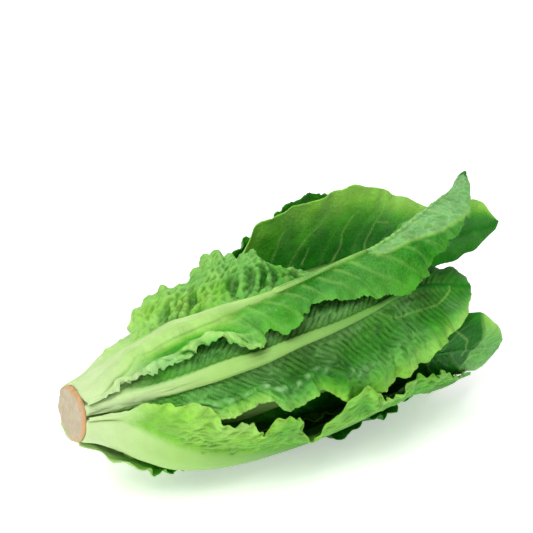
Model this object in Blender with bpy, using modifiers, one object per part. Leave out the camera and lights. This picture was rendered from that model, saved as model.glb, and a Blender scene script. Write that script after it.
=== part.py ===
"""Romaine lettuce head lying on its side: the cut stem and the leaves that grow from it.

The head lies along +X. Its cut end faces -X, its leaf tips point to +X, and its underside
rests on Z = 0. Sizes are in millimetres and degrees, and MM turns them into metres.
A place in the head is (along, round, out): how far it is along the axis, the angle round the
axis (0 is the front, towards -Y, and 90 is the top) and the distance from it.
"""

import math
from dataclasses import dataclass

import bmesh
import bpy
import numpy as np

MM = 0.001

# The head as a whole
AXIS_HEIGHT = 59.3  # of the head's axis above the surface that it lies on
HEAD_MIDDLE = (150.6, 0.4)  # the place along and across the axis that sits at X = 0 and Y = 0
SOFT_HEIGHT = 14.0  # the head's weight presses together what lies lower than this
SAG = 1.5  # how far below the floor the underside would reach if it weren't pressed
FLAT_HEIGHT = 1.7  # a leaf's outer face this close to the floor lies flat on it
LEAST_HEIGHT = 0.8  # of a leaf's inner face above the floor

# The cut stem, which is the butt of the head
CUT_END = -1.8  # the place of the cut face along the axis
STEM_PROFILE = (
    (CUT_END, 0), (CUT_END, 14.2), (-1, 15), (0.8, 15),  # the cut face and its rim
    (1.2, 13.8), (8, 12.6), (14, 11.2), (22, 9.2),  # inside the head
    (30, 7.2), (48, 3.4), (58, 1), (60, 0),
)  # the place along the axis and the radius
STEM_SIDES = 24
CUT_SLOPE = (0.02, 0.09)  # how far the cut leans back per millimetre in Y and in Z
CUT_REACH = 34.0  # the lean fades out this far along the head
WELD = 0.00001  # metres, the distance at which the stem's points on the axis become one

# Leaves
BLADE = 0.85  # thickness of a leaf's blade
CLEAR = 0.75  # free space kept between two leaves
BLADE_SHARES = (0.34, 0.68, 1.0)  # where a blade has points, between its rib and its edge
FINE_COLUMNS = 49  # columns of the smooth sheet that a leaf's points are picked from
CLOSER = 0.25  # how much closer than even a leaf's rows are at its tip
RIB_NARROWS, RIB_THINS = 0.8, 1.1  # powers by which the midrib gets smaller towards the tip
RIB_AT_STEM = (0.7, 0.22)  # shares of the midrib's width and thickness that it starts with
RIB_LEAST = 1.0  # half width of the midrib at the tip
RIB_MOST = 0.8  # the most of a leaf's width that its midrib takes up
RIB_POINT, RIB_REACH = 0.55, 1.03  # where a midrib has points, and ends, in half widths
RIB_SWELLS = 0.12  # share of a leaf's length in which the midrib reaches its full size
FADE = (0.12, 0.08)  # shares of a leaf's length, at the stem and the tip, where its edge calms down
TOOTH_MOST = 3.0  # the furthest that a tooth may reach past a leaf's edge
TOOTH_TURN = 2.4  # radians of a tooth's wave from one row to the next
SIDE_TURN = 0.31  # turns by which the waves of one edge lag behind those of the other
UNEVEN, UNEVEN_TURN = 0.9, 0.37  # how uneven the waves are, and how slowly that changes
PALE, DARK = (0.52, 0.72, 0.30), (0.07, 0.28, 0.04)
SHARP = math.radians(50)  # faces that meet at less than this look like one smooth face


@dataclass(frozen=True)
class Leaf:
    """One leaf, drawn by lines that run from the stem to the leaf's tip.

    A line is (place, points). The place across the leaf is 0 on the midrib, -1 on the edge
    before it and 1 on the edge after it, going round. The points are (along, round, out).
    """

    name: str
    lines: tuple
    rib: tuple = (13.0, 7.0)  # half width and thickness of the midrib near the stem
    ruffle: tuple = (3.0, 8.0, 0.0)  # height of the edge's waves, how many there are, their start
    teeth: float = 1.5  # depth of the teeth along the edge
    rows: int = 24
    green: float = 0.6  # 0 is pale, 1 is dark


def fan(rib, spread):
    """Lines of a plain leaf: its midrib and an edge on each side, `spread` degrees away."""
    return (
        (-1, tuple((a, r - w, o) for (a, r, o), w in zip(rib, spread))),
        (0, rib),
        (1, tuple((a, r + w, o) for (a, r, o), w in zip(rib, spread))),
    )


HEART = (
    Leaf("heart_leaf_inner", fan(((42, 30, 5), (90, 32, 7), (150, 36, 9), (206, 40, 6)),
                                 (40, 70, 80, 20)),
         (5, 3), (1.0, 4, 0.1), 0.8, 12, 0.1),
    Leaf("heart_leaf_outer", fan(((38, 212, 6), (90, 214, 11), (150, 212, 16), (218, 208, 11)),
                                 (45, 80, 90, 20)),
         (6, 3.5), (1.4, 4, 0.3), 0.8, 13, 0.2),
)
INNER = (
    Leaf("inner_leaf_top", fan(((31, 92, 8), (80, 90, 17), (150, 84, 26), (226, 82, 22)),
                               (50, 60, 66, 14)),
         (8, 4), (2.0, 5, 0.5), 1.0, 15, 0.35),
    Leaf("inner_leaf_under", fan(((27, 262, 8), (80, 264, 20), (150, 266, 29), (232, 268, 24)),
                                 (50, 60, 66, 14)),
         (9, 4.5), (2.0, 5, 0.2), 1.0, 15, 0.4),
    Leaf("inner_leaf_back", fan(((23, 180, 9), (80, 186, 24), (140, 192, 31), (236, 196, 26)),
                                (50, 56, 60, 12)),
         (9, 5), (2.0, 5, 0.9), 1.0, 15, 0.4),
    Leaf("inner_leaf_front", (
        (-1, ((22, -60, 10), (50, -62, 22), (90, -66, 34), (150, -72, 41), (200, -66, 45),
              (238, -59, 50), (254, -60, 50), (263, -51, 45))),
        (0, ((22, -12, 10), (50, -15, 21), (78, -15, 33), (99, -8, 38), (150, -8, 42), (200, -12, 42),
             (240, -26, 41), (265, -38, 42))),
        (1, ((22, 40, 10), (50, 42, 21), (90, 48, 32), (150, 46, 37), (200, 34, 38), (228, 16, 40),
             (243, 8, 40), (255, -6, 41), (263, -27, 42)))),
        (9, 6), (2.2, 7, 0.7), 1.0, 26, 0.75),
)
MIDDLE = (
    Leaf("middle_leaf_under", fan(((16, 246, 11), (60, 250, 27), (120, 250, 41), (180, 248, 45),
                                   (252, 242, 40)), (48, 44, 46, 46, 10)),
         (11, 6), (2.5, 7, 0.4), 1.2, 20, 0.5),
    Leaf("middle_leaf_back", (
        (-1, ((16, 130, 12.5), (60, 132, 27), (100, 132, 44), (126, 130, 53), (133, 125, 60),
              (140, 120, 68.5), (152, 118, 72), (168, 118, 73), (190, 117, 75), (212, 118, 74.5),
              (240, 123, 62), (252, 121, 54), (266, 117, 50), (288, 116, 48), (302, 126, 34))),
        (-0.5, ((15, 144, 12.5), (60, 142, 27), (100, 141, 42), (130, 135, 54), (160, 131, 59),
                (200, 130, 58), (240, 129, 51), (275, 122, 44), (304, 128, 32))),
        (0, ((15, 158, 12.5), (40, 160, 18), (80, 158, 30), (120, 156, 40), (160, 155, 42),
             (210, 152, 41), (250, 146, 37), (280, 138, 33), (304, 130, 31))),
        (1, ((16, 190, 12.5), (60, 188, 25), (120, 188, 40), (180, 187, 41), (225, 184, 34),
             (260, 170, 24), (283, 156, 22), (302, 135, 28)))),
        (10, 4.5), (1.4, 9, 0.8), 0.8, 38, 0.9),
    Leaf("middle_leaf_front", (
        (-1, ((2.7, 20, 14.6), (19, 20, 27), (38, 16, 39), (56, 6, 48), (66, 3, 54), (84, 8, 57),
              (100, -1, 60), (118, 5, 61), (136, -7, 62), (160, -5, 61), (190, 0, 58), (208, 8, 55),
              (220, 13, 52), (230, 26, 50))),
        (-0.62, ((2.7, 22, 14.6), (20, 23, 27), (40, 19, 40), (60, 17, 49), (88, 13, 56), (125, 8, 60),
                 (171, 7, 59), (202, 8, 55), (220, 18, 52), (231, 28, 50))),
        (-0.3, ((2.7, 25, 14.6), (20, 27, 25), (42, 25, 38), (58, 25, 44), (88, 24, 51), (125, 22, 54),
                (171, 24, 55), (202, 26, 52), (220, 28, 51), (231, 30, 50))),
        (0, ((2.7, 30, 14.6), (15, 31, 21), (30, 30, 30), (42, 30, 37), (57, 31, 44), (73, 32, 50),
             (89, 32, 53), (111, 34, 56), (133, 35, 57), (160, 38, 58), (185, 42, 56), (210, 40, 52),
             (232, 33, 50))),
        (0.5, ((2.7, 36, 14.6), (20, 38, 28), (42, 42, 41), (70, 45, 50), (111, 48, 56), (150, 48, 57),
               (185, 50, 54), (212, 48, 50), (232, 37, 49))),
        (1, ((2.7, 41, 14.6), (20, 45, 28), (42, 54, 39), (70, 60, 44), (111, 64, 46), (150, 60, 46),
             (185, 56, 48), (208, 54, 48), (224, 50, 48), (232, 40, 49)))),
        (10, 7), (2.2, 11, 0.2), 1.3, 40, 0.6),
)
OUTER = (
    Leaf("outer_leaf_back_top", (
        (-1, ((2.5, 128, 14), (24, 132, 17), (45, 134, 26), (80, 132, 41), (120, 133, 54),
              (150, 136, 67), (172, 137, 79), (188, 136, 82), (200, 137, 80), (215, 141, 72),
              (250, 146, 60), (273, 150, 52))),
        (0, ((2.5, 152, 14), (24, 152, 17), (45, 153, 25), (90, 155, 44), (150, 156, 58),
             (210, 156, 61), (275, 154, 52))),
        (1, ((2.5, 182, 14), (26, 184, 20), (46, 186, 30), (90, 190, 49), (150, 192, 60),
             (210, 188, 61), (255, 176, 56), (272, 160, 52)))),
        (13, 5.5), (2.4, 8, 0.6), 1.3, 28, 0.8),
    Leaf("outer_leaf_back_bottom", fan(((2.3, 212, 14), (40, 213, 34), (90, 213, 51), (150, 213, 57),
                                        (210, 210, 58), (262, 206, 51)), (32, 33, 34, 33, 30, 8)),
         (14, 7), (3.0, 8, 0.15), 1.3, 28, 0.7),
    Leaf("outer_leaf_front_bottom", (
        (-1, ((2.1, -58, 14.2), (20, -62, 25), (44, -70, 40), (87, -80, 51), (130, -85, 53),
              (180, -85, 51), (215, -80, 46), (246, -64, 41))),
        (0, ((2.1, -20, 14.2), (10, -22, 17), (20, -28, 23), (30, -36, 30), (44, -43, 39),
             (60, -48, 45), (87, -52, 50), (120, -54, 52), (150, -50, 52), (190, -52, 49),
             (220, -54, 45), (247, -58, 41))),
        (0.5, ((2.1, 0, 14.2), (18, -2, 24), (30, -6, 33), (44, -12, 41), (60, -20, 47), (87, -32, 52),
               (120, -38, 56), (150, -30, 57), (190, -30, 54), (220, -42, 49), (247, -55, 42))),
        (1, ((2.1, 19, 14.2), (16, 22, 26), (30, 22, 37), (40, 18, 43), (52, 16, 50), (60, 0, 52),
             (72, 0, 56), (83, -14, 58), (90, 1, 62), (98, -1, 63), (110, -20, 61), (119, -26, 61),
             (126, -6, 63), (140, 2, 64), (156, -8, 62), (174, -11, 60), (188, -9, 59), (205, -18, 55),
             (228, -36, 49), (246, -52, 43)))),
        (17, 7.5), (2.5, 9, 0.55), 1.2, 42, 0.4),
    Leaf("outer_leaf_under", (
        (-1, ((2.3, 222, 14.2), (40, 222, 38), (90, 224, 56), (150, 226, 61), (205, 228, 58),
              (250, 244, 50))),
        (0, ((2.3, 262, 14.2), (20, 262, 26), (40, 262, 41), (66, 262, 52), (90, 263, 56),
             (120, 264, 57), (160, 264, 57), (205, 262, 56), (252, 256, 50))),
        (1, ((2.3, 299, 14.2), (13, 303, 24), (22, 303, 33), (36, 299, 41), (60, 286, 50),
             (100, 284, 56), (140, 294, 58), (160, 304, 58), (176, 303, 57), (200, 292, 56),
             (232, 278, 51), (251, 264, 49)))),
        (14, 6), (2.5, 9, 0.35), 1.3, 30, 0.85),
    Leaf("outer_leaf_top", (
        (-1, ((2, 38, 14), (14, 41, 23), (28, 43, 34), (41, 43, 45), (57, 47, 53), (68, 47, 58),
              (76, 40, 61), (84, 35, 63), (93, 43, 63), (103, 39, 64), (125, 48, 65), (140, 46, 66),
              (161, 42, 66), (182, 40, 67), (205, 51, 69), (231, 62, 70), (245, 70, 69), (253, 80, 70),
              (260, 90, 74))),
        (-0.5, ((2, 48, 14), (14, 53, 23), (28, 55, 34), (45, 54, 46), (64, 54, 54), (85, 50, 60),
                (115, 51, 65), (150, 52, 67), (185, 56, 70), (220, 63, 71), (242, 73, 70),
                (260, 91, 74))),
        (0, ((2, 62, 14), (14, 68, 18), (29, 70, 26), (49, 67, 38), (64, 65, 46), (80, 63, 52),
             (97, 61, 56), (122, 61, 61), (150, 63, 64), (173, 65, 66), (200, 71, 69), (225, 79, 70),
             (249, 87, 71.5), (261, 92, 75))),
        (0.5, ((2, 88, 14), (16, 92, 19), (33, 95, 27), (50, 97, 36), (65, 96, 45), (85, 91, 54),
               (105, 82, 60), (125, 70, 60), (150, 66, 56), (175, 70, 57), (210, 79, 63), (242, 87, 67),
               (260, 93, 74))),
        (1, ((2, 118, 14), (12, 119, 17), (22, 118, 22), (34, 120, 28), (45, 120, 34), (52, 121, 43),
             (62, 120, 48), (78, 119, 50), (90, 118, 56), (102, 112, 60), (113, 98, 59), (124, 78, 56),
             (145, 66, 50), (175, 72, 50), (210, 82, 57), (242, 89, 64), (260, 94, 73)))),
        (15, 7.5), (2.6, 11, 0.0), 1.2, 42, 0.45),
)
LEAVES = HEART + INNER + MIDDLE + OUTER


def through(rows, at):
    """Values at the places `at` on a smooth curve through rows of (place, value, value, ...)."""
    rows = np.asarray(rows, float)
    x, y = rows[:, 0], rows[:, 1:]
    slope = np.gradient(y, x, axis=0)
    k = np.clip(np.searchsorted(x, at) - 1, 0, len(x) - 2)
    h = (x[k + 1] - x[k])[:, None]
    u = np.clip((at - x[k])[:, None] / h, 0, 1)
    return (
        (2 * u**3 - 3 * u**2 + 1) * y[k]
        + (u**3 - 2 * u**2 + u) * h * slope[k]
        + (3 * u**2 - 2 * u**3) * y[k + 1]
        + (u**3 - u**2) * h * slope[k + 1]
    )


def to_space(places):
    """Points about the head's axis, in millimetres, of places (along, round, out)."""
    along, around, out = np.moveaxis(np.asarray(places, float), -1, 0)
    angle = np.radians(around)
    return np.stack([along, -out * np.cos(angle), out * np.sin(angle)], -1)


def to_places(points):
    """Places (along, round, out) of points about the head's axis."""
    along, y, z = np.moveaxis(points, -1, 0)
    return along, np.degrees(np.arctan2(z, -y)), np.hypot(y, z)


def unit(vectors):
    return vectors / np.linalg.norm(vectors, axis=-1, keepdims=True)


def normals_of(points):
    """Outward unit normals of a leaf's grid of points."""
    along, across = np.gradient(points, axis=0), np.gradient(points, axis=1)
    return unit(np.cross(along, across))


def along_line(line, share):
    """Places at shares of the length of a line."""
    line = np.asarray(line, float)
    steps = np.linalg.norm(np.diff(to_space(line), axis=0), axis=1)
    at = np.concatenate([[0], np.cumsum(steps)]) / steps.sum()
    return through(np.column_stack([at, line]), share)


def grow(leaf):
    """A leaf's inner surface before it meets the other leaves, and its thickness there.

    Both are grids, with a row for each place along the midrib and a column for each across.
    """
    even = np.linspace(0, 1, leaf.rows)
    share = even + CLOSER * even * (1 - even)
    places = np.stack([along_line(line, share) for _, line in leaf.lines])
    fine = np.linspace(-1, 1, FINE_COLUMNS)
    table = np.column_stack([[place for place, _ in leaf.lines], places.reshape(len(places), -1)])
    sheet = to_space(through(table, fine).reshape(len(fine), leaf.rows, 3))
    steps = np.linalg.norm(np.diff(sheet, axis=0), axis=2)
    reach = np.concatenate([np.zeros((1, leaf.rows)), np.cumsum(steps, axis=0)])
    reach = reach - reach[FINE_COLUMNS // 2]

    full = np.clip(share / RIB_SWELLS, 0, 1)
    wide, high = (start + (1 - start) * full for start in RIB_AT_STEM)
    half = leaf.rib[0] * (1 - share) ** RIB_NARROWS * wide + RIB_LEAST
    height = leaf.rib[1] * (1 - share) ** RIB_THINS * high
    fade = np.clip(np.minimum(share / FADE[0], (1 - share) / FADE[1]), 0, 1)
    shares, columns, thick = [], [], []
    for side in (-1, 1):
        width = np.abs(reach[0 if side < 0 else -1])
        nick = leaf.teeth * np.sin(TOOTH_TURN * np.arange(leaf.rows) + side) * fade
        inner = np.minimum(half, RIB_MOST * width)
        spots = [RIB_POINT * inner, inner] + [inner + (width + nick * s - inner) * s for s in BLADE_SHARES]
        for k, spot in enumerate(spots):
            at = np.clip(side * spot, reach[0] - TOOTH_MOST, reach[-1] + TOOTH_MOST)
            columns.append(side * (k + 1))
            points = np.array([
                [np.interp(at[i], reach[:, i], sheet[:, i, axis]) for axis in range(3)]
                for i in range(leaf.rows)
            ])
            over = (at - np.clip(at, reach[0], reach[-1]))[:, None]
            last, before = (sheet[0], sheet[1]) if side < 0 else (sheet[-1], sheet[-2])
            shares.append(points + side * over * unit(last - before))
            round_off = np.sqrt(np.clip(1 - (spot / (RIB_REACH * inner)) ** 2, 0, 1))
            thick.append(BLADE + height * round_off)
    columns.append(0)
    shares.append(sheet[FINE_COLUMNS // 2])
    thick.append(BLADE + height)
    order = np.argsort(columns)
    points, thick = np.stack(shares, 1)[:, order], np.stack(thick, 1)[:, order]

    rise, waves, start = leaf.ruffle
    across = np.abs(np.asarray(columns)[order]) / max(columns)
    side = np.sign(np.asarray(columns)[order])
    phase = 2 * math.pi * (waves * share[:, None] + start + SIDE_TURN * side[None, :])
    wave = rise * np.sin(phase + UNEVEN * np.sin(UNEVEN_TURN * phase)) * across**3
    return points + normals_of(points) * (wave * fade[:, None])[..., None], thick


def finer(grid, times):
    """A grid with `times` steps for each of its steps, on straight lines between its points."""
    for axis in (0, 1):
        count = grid.shape[axis]
        at = np.linspace(0, count - 1, (count - 1) * times + 1)
        low = np.minimum(at.astype(int), count - 2)
        u = (at - low).reshape([-1 if a == axis else 1 for a in range(grid.ndim)])
        grid = np.take(grid, low, axis) * (1 - u) + np.take(grid, low + 1, axis) * u
    return grid


def stem_radius(along):
    """Radius of the stem inside the head, where leaves grow from it."""
    inside = np.array(STEM_PROFILE[4:], float)
    return np.interp(along, inside[:, 0], inside[:, 1], left=inside[0, 1], right=0)


class Packing:
    """How far out from the axis the leaves laid so far reach, in cells along and round the head."""

    ALONG, ROUND, LENGTH = 2.0, 3.0, 340.0  # size of a cell, and how far along the cells go
    TIMES, ROUNDS = 4, 60  # points for each step of a leaf's grid, and the most pushes
    NEAR_ENOUGH = 0.05  # a leaf that comes short by less than this is clear
    PUSH, SOFT_PUSH = 0.6, 0.8  # shares of a push taken at a point, and from those round it

    def __init__(self):
        along = np.arange(0, self.LENGTH, self.ALONG)
        self.reach = np.repeat(stem_radius(along)[:, None], round(360 / self.ROUND), axis=1)

    def cells(self, points):
        along, around, out = to_places(points)
        i = np.clip((along / self.ALONG).round().astype(int), 0, len(self.reach) - 1)
        return i, (around / self.ROUND).round().astype(int) % self.reach.shape[1], out

    def lay(self, points, thick):
        """Pushes a leaf out until it clears those laid before it, adds it, and returns its points."""
        shifts = [(a, b) for a in (-1, 0, 1) for b in (-1, 0, 1)]
        near = np.max([np.roll(self.reach, shift, (0, 1)) for shift in shifts], axis=0)
        rows, columns = points.shape[:2]
        for _ in range(self.ROUNDS):
            fine = finer(points, self.TIMES)
            i, j, out = self.cells(fine)
            short = near[i, j] + CLEAR - out
            if short.max() < self.NEAR_ENOUGH:
                break
            own_row = (np.arange(fine.shape[0]) / self.TIMES).round().astype(int)[:, None]
            own_column = (np.arange(fine.shape[1]) / self.TIMES).round().astype(int)[None, :]
            push = np.zeros((rows, columns))
            np.maximum.at(push, (own_row, own_column), np.clip(short, 0, None))
            wide = np.pad(push, 1, mode="edge")
            soft = sum(wide[1 + a : 1 + a + rows, 1 + b : 1 + b + columns] for a, b in shifts) / 9
            step = np.maximum(self.PUSH * push, self.SOFT_PUSH * soft)
            points = points + unit(points * (0, 1, 1)) * step[..., None]
        for surface in (points, points + normals_of(points) * thick[..., None]):
            i, j, out = self.cells(finer(surface, 2 * self.TIMES))
            np.maximum.at(self.reach, (i, j), out)
        return points


def set_down(points, least=LEAST_HEIGHT, flat=LEAST_HEIGHT):
    """Leans the cut end, presses the underside on to the floor, and turns points into metres.

    Points that come lower than `flat` end at the height `least`.
    """
    along, y, z = np.moveaxis(points, -1, 0)
    lean = np.clip(1 - along / CUT_REACH, 0, 1) * (CUT_SLOPE[0] * y + CUT_SLOPE[1] * z)
    height = z + AXIS_HEIGHT
    pressed = SOFT_HEIGHT * (height + SAG) / (SOFT_HEIGHT + SAG)
    height = np.where(height < SOFT_HEIGHT, pressed, height)
    height = np.where(height < flat, least, height)
    return np.stack([along + lean - HEAD_MIDDLE[0], y - HEAD_MIDDLE[1], height], -1) * MM


def paint(name, colour, roughness):
    made = bpy.data.materials.new(name)
    made.use_nodes = True
    shader = made.node_tree.nodes["Principled BSDF"]
    shader.inputs["Base Color"].default_value = (*colour, 1)
    shader.inputs["Roughness"].default_value = roughness
    shader.inputs["Metallic"].default_value = 0
    made.diffuse_color = (*colour, 1)
    return made


def keep(name, solid, colour, roughness, collection):
    """Turns a bmesh into the object of one part of the head."""
    bmesh.ops.recalc_face_normals(solid, faces=solid.faces)
    mesh = bpy.data.meshes.new(name)
    solid.to_mesh(mesh)
    solid.free()
    mesh.shade_smooth()
    mesh.set_sharp_from_angle(angle=SHARP)
    mesh.materials.append(paint(name, colour, roughness))
    collection.objects.link(bpy.data.objects.new(name, mesh))


def turned(profile, sides, collection):
    """A bmesh of a profile, (along, out) in millimetres, turned about the X axis by a Screw."""
    outline = bmesh.new()
    points = [outline.verts.new((along * MM, 0, out * MM)) for along, out in profile]
    for pair in zip(points, points[1:]):
        outline.edges.new(pair)
    mesh = bpy.data.meshes.new("profile")
    outline.to_mesh(mesh)
    outline.free()
    drawn = bpy.data.objects.new("profile", mesh)
    collection.objects.link(drawn)
    screw = drawn.modifiers.new("turn", "SCREW")
    screw.axis = "X"
    screw.steps = screw.render_steps = sides
    screw.use_merge_vertices = True
    screw.merge_threshold = WELD
    solid = bmesh.new()
    solid.from_object(drawn, bpy.context.evaluated_depsgraph_get())
    bpy.data.objects.remove(drawn)
    bpy.data.meshes.remove(mesh)
    bmesh.ops.remove_doubles(solid, verts=solid.verts, dist=WELD)
    bmesh.ops.triangulate(solid, faces=solid.faces)
    return solid


def make_stem(collection):
    """The stem, with its cut face and the taper that the leaves grow from."""
    solid = turned(STEM_PROFILE, STEM_SIDES, collection)
    placed = set_down(np.array([vertex.co for vertex in solid.verts]) / MM)
    for vertex, place in zip(solid.verts, placed):
        vertex.co = place
    keep("cut_stem", solid, (0.74, 0.62, 0.44), 0.7, collection)


def make_leaf(leaf, points, thick, collection):
    """One leaf: a sheet of triangles, given thickness outwards for its blade and its midrib."""
    rows, columns = thick.shape
    inner = set_down(points).reshape(-1, 3)
    outer = set_down(points + normals_of(points) * thick[..., None], 0, FLAT_HEIGHT).reshape(-1, 3)
    solid = bmesh.new()
    bmesh.ops.create_grid(solid, x_segments=columns - 1, y_segments=rows - 1, size=0.5)
    number = solid.verts.layers.int.new("number")
    for vertex in solid.verts:
        row = round((vertex.co.y + 0.5) * (rows - 1))
        column = round((vertex.co.x + 0.5) * (columns - 1))
        vertex[number] = row * columns + column
        vertex.co = inner[vertex[number]]
    bmesh.ops.triangulate(solid, faces=solid.faces)
    raised = bmesh.ops.extrude_face_region(solid, geom=solid.faces[:], use_keep_orig=True)
    for vertex in raised["geom"]:
        if isinstance(vertex, bmesh.types.BMVert):
            vertex.co = outer[vertex[number]]
    bmesh.ops.triangulate(solid, faces=[face for face in solid.faces if len(face.verts) > 3])
    colour = [pale + (dark - pale) * leaf.green for pale, dark in zip(PALE, DARK)]
    keep(leaf.name, solid, colour, 0.45, collection)


def main():
    for old in list(bpy.data.objects):
        bpy.data.objects.remove(old)
    collection = bpy.data.collections.new("romaine_lettuce_head")
    bpy.context.scene.collection.children.link(collection)
    make_stem(collection)
    packing = Packing()
    for leaf in LEAVES:
        points, thick = grow(leaf)
        make_leaf(leaf, packing.lay(points, thick), thick, collection)


if __name__ == "__main__":
    main()
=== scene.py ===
"""Romaine lettuce head: the fine leaves, the cut stem and the studio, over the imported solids.

Each leaf is drawn by the same lines as its solid and laid round the stem in the same way. Its
smooth sheet is then worked over: the edge gets its teeth and small waves, the blade its veins
and the hollows between them, and the midrib its grooves. Sizes are in millimetres and degrees.
"""

import logging
import math
from dataclasses import dataclass, field, replace
from enum import Enum

import bmesh
import bpy
import numpy as np
from mathutils import Matrix, Vector


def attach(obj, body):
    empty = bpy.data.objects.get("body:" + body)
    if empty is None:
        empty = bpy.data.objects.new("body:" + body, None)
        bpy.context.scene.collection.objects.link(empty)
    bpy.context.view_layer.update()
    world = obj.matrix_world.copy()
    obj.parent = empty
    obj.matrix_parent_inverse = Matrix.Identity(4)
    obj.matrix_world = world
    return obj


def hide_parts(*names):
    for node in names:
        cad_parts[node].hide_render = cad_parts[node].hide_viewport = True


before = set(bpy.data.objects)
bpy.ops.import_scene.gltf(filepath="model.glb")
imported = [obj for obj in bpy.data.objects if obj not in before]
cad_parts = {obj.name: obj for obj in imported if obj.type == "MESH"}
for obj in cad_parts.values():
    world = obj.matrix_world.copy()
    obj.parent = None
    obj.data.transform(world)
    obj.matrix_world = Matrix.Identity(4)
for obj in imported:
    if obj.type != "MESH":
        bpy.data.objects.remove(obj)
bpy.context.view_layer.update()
log = logging.getLogger("romaine")

MM = 0.001
PHOTO_SIDE = 533  # pixels
PATTERN = 64  # the noise and the nets of cells repeat after so many units

# The head as a whole
CUT_END = -1.8  # the place of the cut face along the axis
AXIS_HEIGHT = 59.3  # of the head's axis above the surface that it lies on
HEAD_MIDDLE = (150.6, 0.4)  # the place along and across the axis that sits at X = 0 and Y = 0
SOFT_HEIGHT = 14.0  # the head's weight presses together what lies lower than this
SAG = 1.5  # how far below the floor the underside would reach if it weren't pressed
FLAT_HEIGHT = 1.7  # a leaf's outer face this close to the floor lies flat on it
LEAST_HEIGHT = 0.8  # of a leaf's inner face above the floor
STEM_TAPER = ((1.2, 13.8), (8, 12.6), (14, 11.2), (22, 9.2), (30, 7.2), (48, 3.4), (58, 1), (60, 0))
CUT_SLOPE = (0.02, 0.09)  # how far the cut leans back per millimetre in Y and in Z
CUT_REACH = 34.0  # the lean fades out this far along the head

# The leaf's solid, which the fine leaf keeps to
BLADE = 0.85  # thickness of the solid's blade
CLEAR = 0.75  # free space kept between two solids
RIB_SHARES = (0.55, 1.0)  # where its midrib has points, between its middle and its edge
BLADE_SHARES = (0.34, 0.68, 1.0)  # where its blade has points, between its rib and its edge

# The fine leaf
FINE_BLADE = 0.6  # thickness of a leaf's blade
FINE_CLEAR = 0.35  # free space kept between two leaves
BASE_REACH = 1.6  # how much closer to the stem's rim the fine leaves start
LEAST_RIB = 0.35  # half width of the midrib at the very tip


class Shade(Enum):
    """How far a leaf's green has come, from the heart of the head to its outside."""

    HEART = "heart"
    LEAF = "leaf"


@dataclass(frozen=True)
class Lines:
    """The lines that a leaf is drawn by, which run from the stem to the leaf's tip.

    A line is (place, points). The place across the leaf is 0 on the midrib, -1 on the edge
    before it and 1 on the edge after it, going round. The points are (along, round, out): how
    far along the head's axis, the angle round it (0 is the front, towards -Y, and 90 is the
    top) and the distance from it.
    """

    name: str
    lines: tuple
    rib: tuple  # half width and thickness of the midrib near the stem
    ruffle: tuple  # height of the edge's waves, how many there are, their start
    teeth: float  # depth of the solid's teeth along the edge
    rows: int


@dataclass(frozen=True)
class Relief:
    """What is worked into a leaf's smooth sheet, in millimetres unless it says otherwise."""

    rows: int = 170  # rows of points along the leaf
    blade: int = 30  # columns of points from the midrib to each edge
    rib: int = 6  # columns of points on each side of the midrib's middle
    band: tuple = (9.0, 1.8)  # half width of the pale midrib at the stem, and how fast it narrows
    groove: float = 0.25  # depth of the grooves along the midrib
    ditch: float = 0.8  # depth of the hollow beside the midrib
    rib_end: float = 0.9  # share of the way along where the midrib stops being paler
    rib_age: float = 1.0  # how fast the midrib gets greener along the leaf
    pale_base: float = 0.16  # share of the way along where the pale flesh at the stem ends
    spacing: float = 15.0  # between the side veins where they leave the midrib
    lean: float = 0.6  # how far a side vein runs along the leaf for each millimetre across
    bend: float = 0.008  # how much more it does so further out, per millimetre
    vein: float = 0.9  # height of the side veins near the midrib
    pale_vein: float = 0.5  # how pale the side veins are, 0 to 1
    net: float = 0.5  # how clearly the smallest veins show, 0 to 1
    hollow: float = 0.9  # depth of the hollows between the small veins
    cell: tuple = (9.0, 4.6)  # size of a hollow across and along the leaf
    deep: float = 0.0  # depth of the few large hollows beside the midrib
    swell: float = 1.0  # height of the broad swellings of the blade
    plain: tuple = (1.0, 1.0)  # share of the way along where either side gets nearly smooth
    wave: tuple = (1.6, 13.0)  # height and length of the small waves along the edge
    teeth: float = 1.6  # depth of the edge's teeth
    teeth_end: float = 0.85  # share of the way along from which they fade out
    pitch: float = 3.4  # from one tooth to the next
    strip: tuple = (0, 0.0)  # the side that is bare up to this share, but for a frill at its edge
    crease: tuple = (0.0, 0.0, 0.0)  # place across, height and half width of a long fold
    drawn: tuple = ()  # veins and folds that stand out, as lines of (x, y) points
    ridge: float = 0.3  # how far they are raised
    pale_line: float = 0.55  # how pale they are, 0 to 1
    line_width: float = 0.6  # half of it
    patch: tuple = ()  # the (x, y) corners of a patch of another green
    patch_look: tuple = (-0.3, 0.0)  # what the patch adds to the green and to the painted sheen
    tone: tuple = (0.15, 0.55, 0.7)  # green near the stem, half way and at the tip, 0 to 1
    pale_edge: tuple = (0.12, 0.12)  # how much paler the edge of either side is, partly its own colour and partly painted light where an edge is lit; below 0 it is painted shade
    pale_from: float = 0.55  # place across from which it gets paler
    painted_sheen: float = 0.0  # how strongly a whitish sheen is painted on the blade, 0 to 1
    seed: int = 1


def fan(rib: tuple, spread_by: tuple) -> tuple:
    """Lines of a plain leaf.

    Args:
        rib: Points of its midrib.
        spread_by: For each of them, the degrees from the midrib to each edge.

    Returns:
        The midrib and an edge on each side of it.
    """
    return tuple(
        (side, tuple((along, turn + side * wide, out) for (along, turn, out), wide in zip(rib, spread_by)))
        for side in (-1, 0, 1)
    )


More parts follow.
